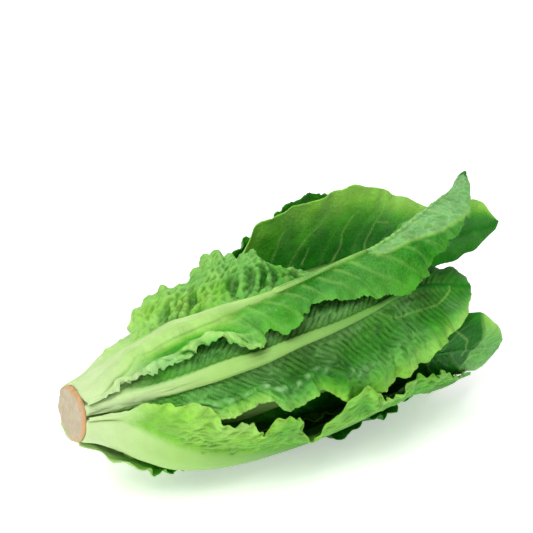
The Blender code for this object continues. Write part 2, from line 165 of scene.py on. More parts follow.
HEART = (
    Lines("heart_leaf_inner", fan(((42, 30, 5), (90, 32, 7), (150, 36, 9), (206, 40, 6)),
                                  (40, 70, 80, 20)),
          (5, 3), (1.0, 4, 0.1), 0.8, 12),
    Lines("heart_leaf_outer", fan(((38, 212, 6), (90, 214, 11), (150, 212, 16), (218, 208, 11)),
                                  (45, 80, 90, 20)),
          (6, 3.5), (1.4, 4, 0.3), 0.8, 13),
)
INNER = (
    Lines("inner_leaf_top", fan(((31, 92, 8), (80, 90, 17), (150, 84, 26), (226, 82, 22)),
                                (50, 60, 66, 14)),
          (8, 4), (2.0, 5, 0.5), 1.0, 15),
    Lines("inner_leaf_under", fan(((27, 262, 8), (80, 264, 20), (150, 266, 29), (232, 268, 24)),
                                  (50, 60, 66, 14)),
          (9, 4.5), (2.0, 5, 0.2), 1.0, 15),
    Lines("inner_leaf_back", fan(((23, 180, 9), (80, 186, 24), (140, 192, 31), (236, 196, 26)),
                                 (50, 56, 60, 12)),
          (9, 5), (2.0, 5, 0.9), 1.0, 15),
    Lines("inner_leaf_front", (
        (-1, ((22, -60, 10), (50, -62, 22), (90, -66, 34), (150, -72, 41), (200, -66, 45),
              (238, -59, 50), (254, -60, 50), (263, -51, 45))),
        (0, ((22, -12, 10), (50, -15, 21), (78, -15, 33), (99, -8, 38), (150, -8, 42), (200, -12, 42),
             (240, -26, 41), (265, -38, 42))),
        (1, ((22, 40, 10), (50, 42, 21), (90, 48, 32), (150, 46, 37), (200, 34, 38), (228, 16, 40),
             (243, 8, 40), (255, -6, 41), (263, -27, 42)))),
        (9, 6), (2.2, 7, 0.7), 1.0, 26),
)
MIDDLE = (
    Lines("middle_leaf_under", fan(((16, 246, 11), (60, 250, 27), (120, 250, 41), (180, 248, 45),
                                    (252, 242, 40)), (48, 44, 46, 46, 10)),
          (11, 6), (2.5, 7, 0.4), 1.2, 20),
    Lines("middle_leaf_back", (
        (-1, ((16, 130, 12.5), (60, 132, 27), (100, 132, 44), (126, 130, 53), (133, 125, 60),
              (140, 120, 68.5), (152, 118, 72), (168, 118, 73), (190, 117, 75), (212, 118, 74.5),
              (240, 123, 62), (252, 121, 54), (266, 117, 50), (288, 116, 48), (302, 126, 34))),
        (-0.5, ((15, 144, 12.5), (60, 142, 27), (100, 141, 42), (130, 135, 54), (160, 131, 59),
                (200, 130, 58), (240, 129, 51), (275, 122, 44), (304, 128, 32))),
        (0, ((15, 158, 12.5), (40, 160, 18), (80, 158, 30), (120, 156, 40), (160, 155, 42),
             (210, 152, 41), (250, 146, 37), (280, 138, 33), (304, 130, 31))),
        (1, ((16, 190, 12.5), (60, 188, 25), (120, 188, 40), (180, 187, 41), (225, 184, 34),
             (260, 170, 24), (283, 156, 22), (302, 135, 28)))),
        (10, 4.5), (1.4, 9, 0.8), 0.8, 38),
    Lines("middle_leaf_front", (
        (-1, ((2.7, 20, 14.6), (19, 20, 27), (38, 16, 39), (56, 6, 48), (66, 3, 54), (84, 8, 57),
              (100, -1, 60), (118, 5, 61), (136, -7, 62), (160, -5, 61), (190, 0, 58), (208, 8, 55),
              (220, 13, 52), (230, 26, 50))),
        (-0.62, ((2.7, 22, 14.6), (20, 23, 27), (40, 19, 40), (60, 17, 49), (88, 13, 56), (125, 8, 60),
                 (171, 7, 59), (202, 8, 55), (220, 18, 52), (231, 28, 50))),
        (-0.3, ((2.7, 25, 14.6), (20, 27, 25), (42, 25, 38), (58, 25, 44), (88, 24, 51), (125, 22, 54),
                (171, 24, 55), (202, 26, 52), (220, 28, 51), (231, 30, 50))),
        (0, ((2.7, 30, 14.6), (15, 31, 21), (30, 30, 30), (42, 30, 37), (57, 31, 44), (73, 32, 50),
             (89, 32, 53), (111, 34, 56), (133, 35, 57), (160, 38, 58), (185, 42, 56), (210, 40, 52),
             (232, 33, 50))),
        (0.5, ((2.7, 36, 14.6), (20, 38, 28), (42, 42, 41), (70, 45, 50), (111, 48, 56), (150, 48, 57),
               (185, 50, 54), (212, 48, 50), (232, 37, 49))),
        (1, ((2.7, 41, 14.6), (20, 45, 28), (42, 54, 39), (70, 60, 44), (111, 64, 46), (150, 60, 46),
             (185, 56, 48), (208, 54, 48), (224, 50, 48), (232, 40, 49)))),
        (10, 7), (2.2, 11, 0.2), 1.3, 40),
)
OUTER = (
    Lines("outer_leaf_back_top", (
        (-1, ((2.5, 128, 14), (24, 132, 17), (45, 134, 26), (80, 132, 41), (120, 133, 54),
              (150, 136, 67), (172, 137, 79), (188, 136, 82), (200, 137, 80), (215, 141, 72),
              (250, 146, 60), (273, 150, 52))),
        (0, ((2.5, 152, 14), (24, 152, 17), (45, 153, 25), (90, 155, 44), (150, 156, 58),
             (210, 156, 61), (275, 154, 52))),
        (1, ((2.5, 182, 14), (26, 184, 20), (46, 186, 30), (90, 190, 49), (150, 192, 60),
             (210, 188, 61), (255, 176, 56), (272, 160, 52)))),
        (13, 5.5), (2.4, 8, 0.6), 1.3, 28),
    Lines("outer_leaf_back_bottom", fan(((2.3, 212, 14), (40, 213, 34), (90, 213, 51), (150, 213, 57),
                                         (210, 210, 58), (262, 206, 51)), (32, 33, 34, 33, 30, 8)),
          (14, 7), (3.0, 8, 0.15), 1.3, 28),
    Lines("outer_leaf_front_bottom", (
        (-1, ((2.1, -58, 14.2), (20, -62, 25), (44, -70, 40), (87, -80, 51), (130, -85, 53),
              (180, -85, 51), (215, -80, 46), (246, -64, 41))),
        (0, ((2.1, -20, 14.2), (10, -22, 17), (20, -28, 23), (30, -36, 30), (44, -43, 39),
             (60, -48, 45), (87, -52, 50), (120, -54, 52), (150, -50, 52), (190, -52, 49),
             (220, -54, 45), (247, -58, 41))),
        (0.5, ((2.1, 0, 14.2), (18, -2, 24), (30, -6, 33), (44, -12, 41), (60, -20, 47), (87, -32, 52),
               (120, -38, 56), (150, -30, 57), (190, -30, 54), (220, -42, 49), (247, -55, 42))),
        (1, ((2.1, 19, 14.2), (16, 22, 26), (30, 22, 37), (40, 18, 43), (52, 16, 50), (60, 0, 52),
             (72, 0, 56), (83, -14, 58), (90, 1, 62), (98, -1, 63), (110, -20, 61), (119, -26, 61),
             (126, -6, 63), (140, 2, 64), (156, -8, 62), (174, -11, 60), (188, -9, 59), (205, -18, 55),
             (228, -36, 49), (246, -52, 43)))),
        (17, 7.5), (2.5, 9, 0.55), 1.2, 42),
    Lines("outer_leaf_under", (
        (-1, ((2.3, 222, 14.2), (40, 222, 38), (90, 224, 56), (150, 226, 61), (205, 228, 58),
              (250, 244, 50))),
        (0, ((2.3, 262, 14.2), (20, 262, 26), (40, 262, 41), (66, 262, 52), (90, 263, 56),
             (120, 264, 57), (160, 264, 57), (205, 262, 56), (252, 256, 50))),
        (1, ((2.3, 299, 14.2), (13, 303, 24), (22, 303, 33), (36, 299, 41), (60, 286, 50),
             (100, 284, 56), (140, 294, 58), (160, 304, 58), (176, 303, 57), (200, 292, 56),
             (232, 278, 51), (251, 264, 49)))),
        (14, 6), (2.5, 9, 0.35), 1.3, 30),
    Lines("outer_leaf_top", (
        (-1, ((2, 38, 14), (14, 41, 23), (28, 43, 34), (41, 43, 45), (57, 47, 53), (68, 47, 58),
              (76, 40, 61), (84, 35, 63), (93, 43, 63), (103, 39, 64), (125, 48, 65), (140, 46, 66),
              (161, 42, 66), (182, 40, 67), (205, 51, 69), (231, 62, 70), (245, 70, 69), (253, 80, 70),
              (260, 90, 74))),
        (-0.5, ((2, 48, 14), (14, 53, 23), (28, 55, 34), (45, 54, 46), (64, 54, 54), (85, 50, 60),
                (115, 51, 65), (150, 52, 67), (185, 56, 70), (220, 63, 71), (242, 73, 70),
                (260, 91, 74))),
        (0, ((2, 62, 14), (14, 68, 18), (29, 70, 26), (49, 67, 38), (64, 65, 46), (80, 63, 52),
             (97, 61, 56), (122, 61, 61), (150, 63, 64), (173, 65, 66), (200, 71, 69), (225, 79, 70),
             (249, 87, 71.5), (261, 92, 75))),
        (0.5, ((2, 88, 14), (16, 92, 19), (33, 95, 27), (50, 97, 36), (65, 96, 45), (85, 91, 54),
               (105, 82, 60), (125, 70, 60), (150, 66, 56), (175, 70, 57), (210, 79, 63), (242, 87, 67),
               (260, 93, 74))),
        (1, ((2, 118, 14), (12, 119, 17), (22, 118, 22), (34, 120, 28), (45, 120, 34), (52, 121, 43),
             (62, 120, 48), (78, 119, 50), (90, 118, 56), (102, 112, 60), (113, 98, 59), (124, 78, 56),
             (145, 66, 50), (175, 72, 50), (210, 82, 57), (242, 89, 64), (260, 94, 73)))),
        (15, 7.5), (2.6, 11, 0.0), 1.2, 42),
)
ARCHED_VEIN = ((-26, 218), (-15, 219), (-9, 223), (-1, 226), (3, 230), (12, 227), (18, 223), (25, 220))
SECOND_FOLD = ((-5, 180), (-7, 186), (-8, 193), (-9.5, 203), (-12, 211), (-15, 219), (-16, 228),
               (-18, 234), (-19, 242), (-17, 252))
HEART_RELIEF = Relief(90, 14, 3, hollow=0.4, swell=0.5, wave=(0.8, 11), teeth=0.8)
INNER_RELIEF = Relief(130, 20, 4, hollow=0.5, swell=0.6, wave=(1.2, 12), teeth=1.0, tone=(0.1, 0.4, 0.55))
RELIEFS = {
    "heart_leaf_inner": replace(HEART_RELIEF, seed=3, tone=(0.0, 0.08, 0.2)),
    "heart_leaf_outer": replace(HEART_RELIEF, seed=13, tone=(0.0, 0.12, 0.25)),
    "inner_leaf_top": replace(INNER_RELIEF, seed=23),
    "inner_leaf_under": replace(INNER_RELIEF, seed=33),
    "inner_leaf_back": replace(INNER_RELIEF, seed=43),
    "inner_leaf_front": Relief(
        260, 46, 5, spacing=19, hollow=0.5, swell=0.7, wave=(0.6, 15), teeth=0.4, seed=53,
        tone=(0.2, 0.88, 0.9), pale_vein=0.12, band=(9, 2.0), net=0.05, rib_end=0.62, rib_age=0.8,
        drawn=(
            ARCHED_VEIN,
            ((-9, 223), (-6.7, 227), (-5, 234), (-2.7, 238), (3, 236)),
            ((14, 204), (10, 212), (6, 218), (0.5, 219), (-4.5, 218)),
        ),
        patch=((-40, 216), *ARCHED_VEIN, (40, 216), (40, 270), (-40, 270)), patch_look=(-0.4, 0.25)),
    "middle_leaf_under": Relief(170, 26, 5, hollow=0.7, swell=0.8, seed=63, tone=(0.1, 0.5, 0.6)),
    "middle_leaf_back": Relief(
        320, 58, 6, spacing=22, lean=0.35, bend=0.011, vein=0.2, hollow=0.25, cell=(12, 8),
        wave=(0.5, 14), teeth=0.5, seed=73, tone=(0.25, 0.78, 0.7), pale_edge=(0.52, 0.0),
        pale_from=0.25, pale_vein=0.15, band=(9, 3), net=0.12, rib_end=0.6, painted_sheen=0.1,
        drawn=(
            ((-3.4, 146), (-8, 152), (-17, 159), (-25, 166), (-30, 173), (-37, 178), (-39, 184)),
            ((-0.4, 179), (-5, 183), (-10, 187), (-18, 188), (-26, 192), (-31, 197)),
            ((-2.5, 203), (-8, 204), (-14, 207), (-21, 210), (-28, 214), (-34, 212), (-39, 206),
             (-41, 202)),
            ((-14, 140), (-21, 143), (-28, 145), (-33, 149)),
            ((-5.5, 160), (-10, 163), (-15, 165)),
            ((-20, 211), (-18, 218)),
        ),
        ridge=-0.3, pale_line=0.85, line_width=0.5),
    "middle_leaf_front": Relief(
        330, 58, 7, spacing=4.0, lean=0.9, bend=-0.006, vein=0.6, hollow=0.7, cell=(6, 3.2), swell=1.2,
        wave=(0.9, 9), teeth=1.0, seed=83, tone=(0.45, 0.88, 0.8), pale_vein=0.3,
        crease=(-0.6, 2.4, 0.05), band=(6.6, 1.7), net=0.1, pale_edge=(0.52, -0.2), pale_from=0.42,
        rib_end=0.72, painted_sheen=0.24,
        drawn=(
            ((-1, 167), (-8, 177), (-12, 186), (-12, 200), (-11, 213), (-8, 219), (-4, 224), (-1, 225)),
        )),
    "outer_leaf_back_top": Relief(230, 38, seed=93, tone=(0.25, 0.8, 0.9)),
    "outer_leaf_back_bottom": Relief(250, 42, 7, hollow=1.1, swell=1.2, seed=103, tone=(0.2, 0.6, 0.75)),
    "outer_leaf_front_bottom": Relief(
        330, 56, 8, spacing=14, hollow=1.1, cell=(6, 4), swell=0.9, wave=(1.2, 8), teeth=1.0, seed=113,
        tone=(0.3, 0.38, 0.52), groove=0.15, band=(18, 0.8), pale_base=0.09, rib_age=1.6, painted_sheen=0.12,
        teeth_end=0.62),
    "outer_leaf_under": Relief(
        250, 42, 7, hollow=0.8, swell=0.8, wave=(1.6, 12), seed=123, tone=(0.2, 0.9, 0.5),
        pale_edge=(0.0, 0.0)),
    "outer_leaf_top": Relief(
        340, 58, 8, spacing=12, lean=0.45, bend=0.006, vein=1.0, hollow=1.5, cell=(5.4, 4.2), swell=1.7,
        wave=(1.1, 8), pitch=2.8, seed=133, tone=(0.12, 0.55, 0.66), band=(13, 3.9), plain=(0.28, 0.55),
        deep=2.8, rib_end=0.4, rib_age=0.75, strip=(-1, 0.29), painted_sheen=0.3,
        drawn=(((0, 118), (0.3, 140), (-0.2, 160), (0, 180), (0, 250)), SECOND_FOLD),
        line_width=1.1, pale_line=0.8, ridge=0.4,
        patch=((0, 176), *SECOND_FOLD, (-14, 275), (14, 275), (14, 222)), patch_look=(-0.1, 0.6)),
}


def through(rows: np.ndarray, at: np.ndarray) -> np.ndarray:
    """A smooth curve through rows of numbers.

    Args:
        rows: Rows of (place, value, value, ...), with growing places.
        at: Places to read the curve at.

    Returns:
        The values at those places, a row for each.
    """
    rows = np.asarray(rows, float)
    x, y = rows[:, 0], rows[:, 1:]
    slope = np.gradient(y, x, axis=0)
    k = np.clip(np.searchsorted(x, at) - 1, 0, len(x) - 2)
    h = (x[k + 1] - x[k])[:, None]
    u = np.clip((at - x[k])[:, None] / h, 0, 1)
    return (
        (2 * u**3 - 3 * u**2 + 1) * y[k]
        + (u**3 - 2 * u**2 + u) * h * slope[k]
        + (3 * u**2 - 2 * u**3) * y[k + 1]
        + (u**3 - u**2) * h * slope[k + 1]
    )


def run_along(points: np.ndarray, axis: int = 0) -> np.ndarray:
    """How far each point lies from the first, along the line or each of the lines through them.

    Args:
        points: Points in space.
        axis: The axis of the grid that the lines follow.

    Returns:
        The lengths, which start at 0.
    """
    steps = np.linalg.norm(np.diff(points, axis=axis), axis=-1)
    return np.concatenate([0 * np.take(steps, [0], axis), np.cumsum(steps, axis=axis)], axis)


def to_space(places: np.ndarray) -> np.ndarray:
    """Points about the head's axis.

    Args:
        places: Places (along, round, out).

    Returns:
        Their places along the axis, across it and above it, in millimetres.
    """
    along, around, out = np.moveaxis(np.asarray(places, float), -1, 0)
    angle = np.radians(around)
    return np.stack([along, -out * np.cos(angle), out * np.sin(angle)], -1)


def to_places(points: np.ndarray) -> tuple[np.ndarray, np.ndarray, np.ndarray]:
    """Places (along, round, out) of points about the head's axis."""
    along, y, z = np.moveaxis(points, -1, 0)
    return along, np.degrees(np.arctan2(z, -y)), np.hypot(y, z)


def unit(vectors: np.ndarray) -> np.ndarray:
    """The vectors, each made one long."""
    return vectors / np.maximum(np.linalg.norm(vectors, axis=-1, keepdims=True), 1e-9)


def normals_of(points: np.ndarray) -> np.ndarray:
    """Outward unit normals of a leaf's grid of points."""
    along, across = np.gradient(points, axis=0), np.gradient(points, axis=1)
    return unit(np.cross(along, across))


def rise(value: np.ndarray, start: float, length: float) -> np.ndarray:
    """A soft rise from 0 to 1.

    Args:
        value: What it depends on.
        start: The value where it leaves 0.
        length: How much further it reaches 1.

    Returns:
        The height of the rise at each value.
    """
    share = np.clip((value - start) / length, 0, 1)
    return share * share * (3 - 2 * share)


def hump(value: np.ndarray, half_width: float) -> np.ndarray:
    """A bell that is 1 where the value is 0."""
    return np.exp(-((value / half_width) ** 2))


def spread(grid: np.ndarray, times: int) -> np.ndarray:
    """Evens out the values of a grid with their neighbours.

    Args:
        grid: The values.
        times: How often.

    Returns:
        The even grid.
    """
    for _ in range(times):
        wide = np.pad(grid, 1, mode="edge")
        rows = (wide[:-2] + 2 * wide[1:-1] + wide[2:]) / 4
        grid = (rows[:, :-2] + 2 * rows[:, 1:-1] + rows[:, 2:]) / 4
    return grid


def cloud(x: np.ndarray, y: np.ndarray, seed: int) -> np.ndarray:
    """Smooth noise, with one swelling or dip for about each unit of x and y.

    Args:
        x: Places across.
        y: Places along.
        seed: Starts its random draws.

    Returns:
        The noise at each place, from -1 to 1.
    """
    table = np.random.default_rng(seed).uniform(-1, 1, (PATTERN, PATTERN))
    i, j = np.floor(x).astype(int), np.floor(y).astype(int)
    u, v = rise(x - i, 0, 1), rise(y - j, 0, 1)
    here, there = (
        table[i % PATTERN, k % PATTERN] * (1 - u) + table[(i + 1) % PATTERN, k % PATTERN] * u
        for k in (j, j + 1)
    )
    return here * (1 - v) + there * v


def cells(x: np.ndarray, y: np.ndarray, seed: int) -> tuple[np.ndarray, np.ndarray]:
    """An uneven net with about one mesh for each unit of x and y.

    Args:
        x: Places across.
        y: Places along.
        seed: Starts its random draws.

    Returns:
        How far inside its mesh each place is, 0 on the net, and a number from 0 to 1 that is
        the same all over a mesh.
    """
    rng = np.random.default_rng(seed)
    middle, lot = rng.uniform(0.1, 0.9, (PATTERN, PATTERN, 2)), rng.uniform(0, 1, (PATTERN, PATTERN))
    i, j = np.floor(x).astype(int), np.floor(y).astype(int)
    nearest, second = np.full(x.shape, 9.0), np.full(x.shape, 9.0)
    chosen = np.zeros(x.shape)
    for a in (-1, 0, 1):
        for b in (-1, 0, 1):
            p, q = (i + a) % PATTERN, (j + b) % PATTERN
            gap = np.hypot(x - (i + a + middle[p, q, 0]), y - (j + b + middle[p, q, 1]))
            closer = gap < nearest
            second = np.where(closer, nearest, np.minimum(second, gap))
            chosen = np.where(closer, lot[p, q], chosen)
            nearest = np.where(closer, gap, nearest)
    return second - nearest, chosen


def ragged(along: np.ndarray, pitch: float, seed: int) -> np.ndarray:
    """Uneven round lobes with sharp notches between them, along an edge.

    Args:
        along: Places along the edge.
        pitch: From one notch to the next, on average.
        seed: Starts its random draws.

    Returns:
        How far the edge stands out at each place, from -0.5 to 0.5.
    """
    count, lead = 400, 20  # lobes, which begin this far before the edge does
    rng = np.random.default_rng(seed)
    notches = np.cumsum(pitch * rng.uniform(0.5, 1.5, count)) - lead
    heights = rng.uniform(0.3, 1, count)
    k = np.clip(np.searchsorted(notches, along) - 1, 0, count - 2)
    u = np.clip((along - notches[k]) / (notches[k + 1] - notches[k]), 0, 1)
    return heights[k] * (4 * u * (1 - u)) ** 0.7 - 0.5


def set_down(points: np.ndarray, least: float = LEAST_HEIGHT, flat: float = LEAST_HEIGHT) -> np.ndarray:
    """Leans the cut end, presses the underside on to the floor, and turns points into metres.

    Args:
        points: Points about the head's axis, in millimetres.
        least: The height that the lowest points end at.
        flat: Points that come lower than this end at `least`.

    Returns:
        The points where they lie, in metres.
    """
    along, y, z = np.moveaxis(points, -1, 0)
    lean = np.clip(1 - along / CUT_REACH, 0, 1) * (CUT_SLOPE[0] * y + CUT_SLOPE[1] * z)
    height = z + AXIS_HEIGHT
    pressed = SOFT_HEIGHT * (height + SAG) / (SOFT_HEIGHT + SAG)
    height = np.where(height < SOFT_HEIGHT, pressed, height)
    height = np.where(height < flat, least, height)
    return np.stack([along + lean - HEAD_MIDDLE[0], y - HEAD_MIDDLE[1], height], -1) * MM


@dataclass(frozen=True)
class Drawing:
    """The solid's sheet of a leaf, before the leaves are laid round each other."""

    leaf: Lines
    fine: int = 49  # points on each line across the leaf
    base: float = 0.12  # share of the way along where the leaf comes to its full thickness
    tip: float = 0.08  # share of the way before the tip over which the edge gets calm
    crowding: float = 0.25  # how much the rows crowd towards the tip

    def along_line(self, line: tuple, share: np.ndarray) -> np.ndarray:
        """Places at shares of the length of a line.

        Args:
            line: Its points (along, round, out).
            share: The shares.

        Returns:
            The places.
        """
        run = run_along(to_space(line))
        return through(np.column_stack([run / run[-1], line]), share)

    def spanned(self, share: np.ndarray) -> tuple[np.ndarray, np.ndarray]:
        """The sheet that the lines span.

        Args:
            share: For each row of the leaf, how far along it is.

        Returns:
            A grid of points, first across and then along, and how far each is from the midrib.
        """
        leaf = self.leaf
        places = np.stack([self.along_line(line, share) for _, line in leaf.lines])
        table = np.column_stack([[place for place, _ in leaf.lines], places.reshape(len(places), -1)])
        across = through(table, np.linspace(-1, 1, self.fine))
        sheet = to_space(across.reshape(self.fine, leaf.rows, 3))
        reach = run_along(sheet)
        return sheet, reach - reach[self.fine // 2]

    def sheet(self) -> tuple[np.ndarray, np.ndarray]:
        """The leaf's inner surface and its thickness there.

        Returns:
            Two grids, with a row for each place along the midrib and a column for each across.
        """
        leaf = self.leaf
        even = np.linspace(0, 1, leaf.rows)
        share = even + self.crowding * even * (1 - even)
        sheet, reach = self.spanned(share)
        full = np.clip(share / self.base, 0, 1)
        half = leaf.rib[0] * (1 - share) ** 0.8 * (0.7 + 0.3 * full) + 1.0
        height = leaf.rib[1] * (1 - share) ** 1.1 * (0.22 + 0.78 * full)
        fade = np.clip(np.minimum(share / self.base, (1 - share) / self.tip), 0, 1)
        columns, shares, thick = [0], [sheet[self.fine // 2]], [BLADE + height]
        for side in (-1, 1):
            width = np.abs(reach[0 if side < 0 else -1])
            nick = leaf.teeth * np.sin(2.4 * np.arange(leaf.rows) + side) * fade
            inner = np.minimum(half, 0.8 * width)
            spots = [inner * s for s in RIB_SHARES]
            spots += [inner + (width + nick * s - inner) * s for s in BLADE_SHARES]
            last, before = (sheet[0], sheet[1]) if side < 0 else (sheet[-1], sheet[-2])
            for k, spot in enumerate(spots):
                at = np.clip(side * spot, reach[0] - 3, reach[-1] + 3)
                points = np.array([
                    [np.interp(at[i], reach[:, i], sheet[:, i, axis]) for axis in range(3)]
                    for i in range(leaf.rows)
                ])
                over = (at - np.clip(at, reach[0], reach[-1]))[:, None]
                columns.append(side * (k + 1))
                shares.append(points + side * over * unit(last - before))
                thick.append(BLADE + height * np.sqrt(np.clip(1 - (spot / (1.03 * inner)) ** 2, 0, 1)))
        order = np.argsort(columns)
        points, thick = np.stack(shares, 1)[:, order], np.stack(thick, 1)[:, order]
        return points + normals_of(points) * self.ruffled(share, fade, np.sort(columns))[..., None], thick

    def ruffled(self, share: np.ndarray, fade: np.ndarray, columns: np.ndarray) -> np.ndarray:
        """How far the waves of the edge lift the sheet.

        Args:
            share: For each row, how far along it is.
            fade: How much of the waves it keeps.
            columns: For each column, its number from the midrib, less than 0 before it.

        Returns:
            The lift, a row for each row and a column for each column.
        """
        height, waves, start = self.leaf.ruffle
        across, side = np.abs(columns) / max(columns), np.sign(columns)
        phase = 2 * math.pi * (waves * share[:, None] + start + 0.31 * side[None, :])
        return height * np.sin(phase + 0.9 * np.sin(0.37 * phase)) * across**3 * fade[:, None]


@dataclass
class Packing:
    """How far out from the axis the leaves laid so far reach, in cells along and round the head."""

    step: float = 2.0  # of a cell along the head
    turn: float = 3.0  # degrees of a cell round the head
    length: float = 340.0
    clear: float = CLEAR  # free space kept between two leaves
    times: int = 4  # steps between two points of a leaf's grid
    rounds: int = 60
    soft: int = 0  # how often the push is evened out, on a fine grid
    enough: float = 0.05  # a leaf that is no further inside another than this is left there
    reach: np.ndarray = field(init=False)

    def __post_init__(self) -> None:
        """Starts with the stem alone."""
        along = np.arange(0, self.length, self.step)
        taper = np.array(STEM_TAPER, float)
        radius = np.interp(along, taper[:, 0], taper[:, 1], left=taper[0, 1], right=0)
        self.reach = np.repeat(radius[:, None], round(360 / self.turn), axis=1)

    def finer(self, grid: np.ndarray, times: int) -> np.ndarray:
        """A finer grid, on straight lines between the points of another.

        Args:
            grid: The coarse grid.
            times: Steps of the new grid for each of its steps.

        Returns:
            The fine grid.
        """
        for axis in (0, 1):
            count = grid.shape[axis]
            at = np.linspace(0, count - 1, (count - 1) * times + 1)
            low = np.minimum(at.astype(int), count - 2)
            u = (at - low).reshape([-1 if a == axis else 1 for a in range(grid.ndim)])
            grid = np.take(grid, low, axis) * (1 - u) + np.take(grid, low + 1, axis) * u
        return grid

    def cells(self, points: np.ndarray) -> tuple[np.ndarray, np.ndarray, np.ndarray]:
        """The cell along and round the head, and the distance from the axis, of each point."""
        along, around, out = to_places(points)
        i = np.clip((along / self.step).round().astype(int), 0, len(self.reach) - 1)
        return i, (around / self.turn).round().astype(int) % self.reach.shape[1], out

    def lay(self, points: np.ndarray, thick: np.ndarray) -> np.ndarray:
        """Pushes a leaf out until it clears those laid before it, and adds it.

        Args:
            points: The grid of its inner surface.
            thick: Its thickness at each point.

        Returns:
            Its points where they end.
        """
        shifts = [(a, b) for a in (-1, 0, 1) for b in (-1, 0, 1)]
        near = np.max([np.roll(self.reach, shift, (0, 1)) for shift in shifts], axis=0)
        rows, columns = points.shape[:2]
        for _ in range(self.rounds):
            fine = self.finer(points, self.times)
            i, j, out = self.cells(fine)
            short = near[i, j] + self.clear - out
            if short.max() < self.enough:
                break
            own_row = (np.arange(fine.shape[0]) / self.times).round().astype(int)[:, None]
            own_column = (np.arange(fine.shape[1]) / self.times).round().astype(int)[None, :]
            push = np.zeros((rows, columns))
            np.maximum.at(push, (own_row, own_column), np.clip(short, 0, None))
            if self.soft:
                shift = np.maximum(0.35 * push, spread(push, self.soft))
            else:
                wide = np.pad(push, 1, mode="edge")
                mean = sum(wide[1 + a : 1 + a + rows, 1 + b : 1 + b + columns] for a, b in shifts) / 9
                shift = np.maximum(0.6 * push, 0.8 * mean)
            points = points + unit(points * (0, 1, 1)) * shift[..., None]
        for surface in (points, points + normals_of(points) * thick[..., None]):
            i, j, out = self.cells(self.finer(surface, 2 * self.times))
            np.maximum.at(self.reach, (i, j), out)
        return points


@dataclass(frozen=True)
class Spots:
    """Grids that say where each point of a leaf's sheet is on the leaf, in millimetres."""

    x: np.ndarray  # across, from the midrib's middle
    y: np.ndarray  # along
    share: np.ndarray  # share of the way along
    edge: np.ndarray  # share of the way from the midrib to the edge
    rib: np.ndarray  # half width of the midrib
    width: np.ndarray  # half width of the leaf


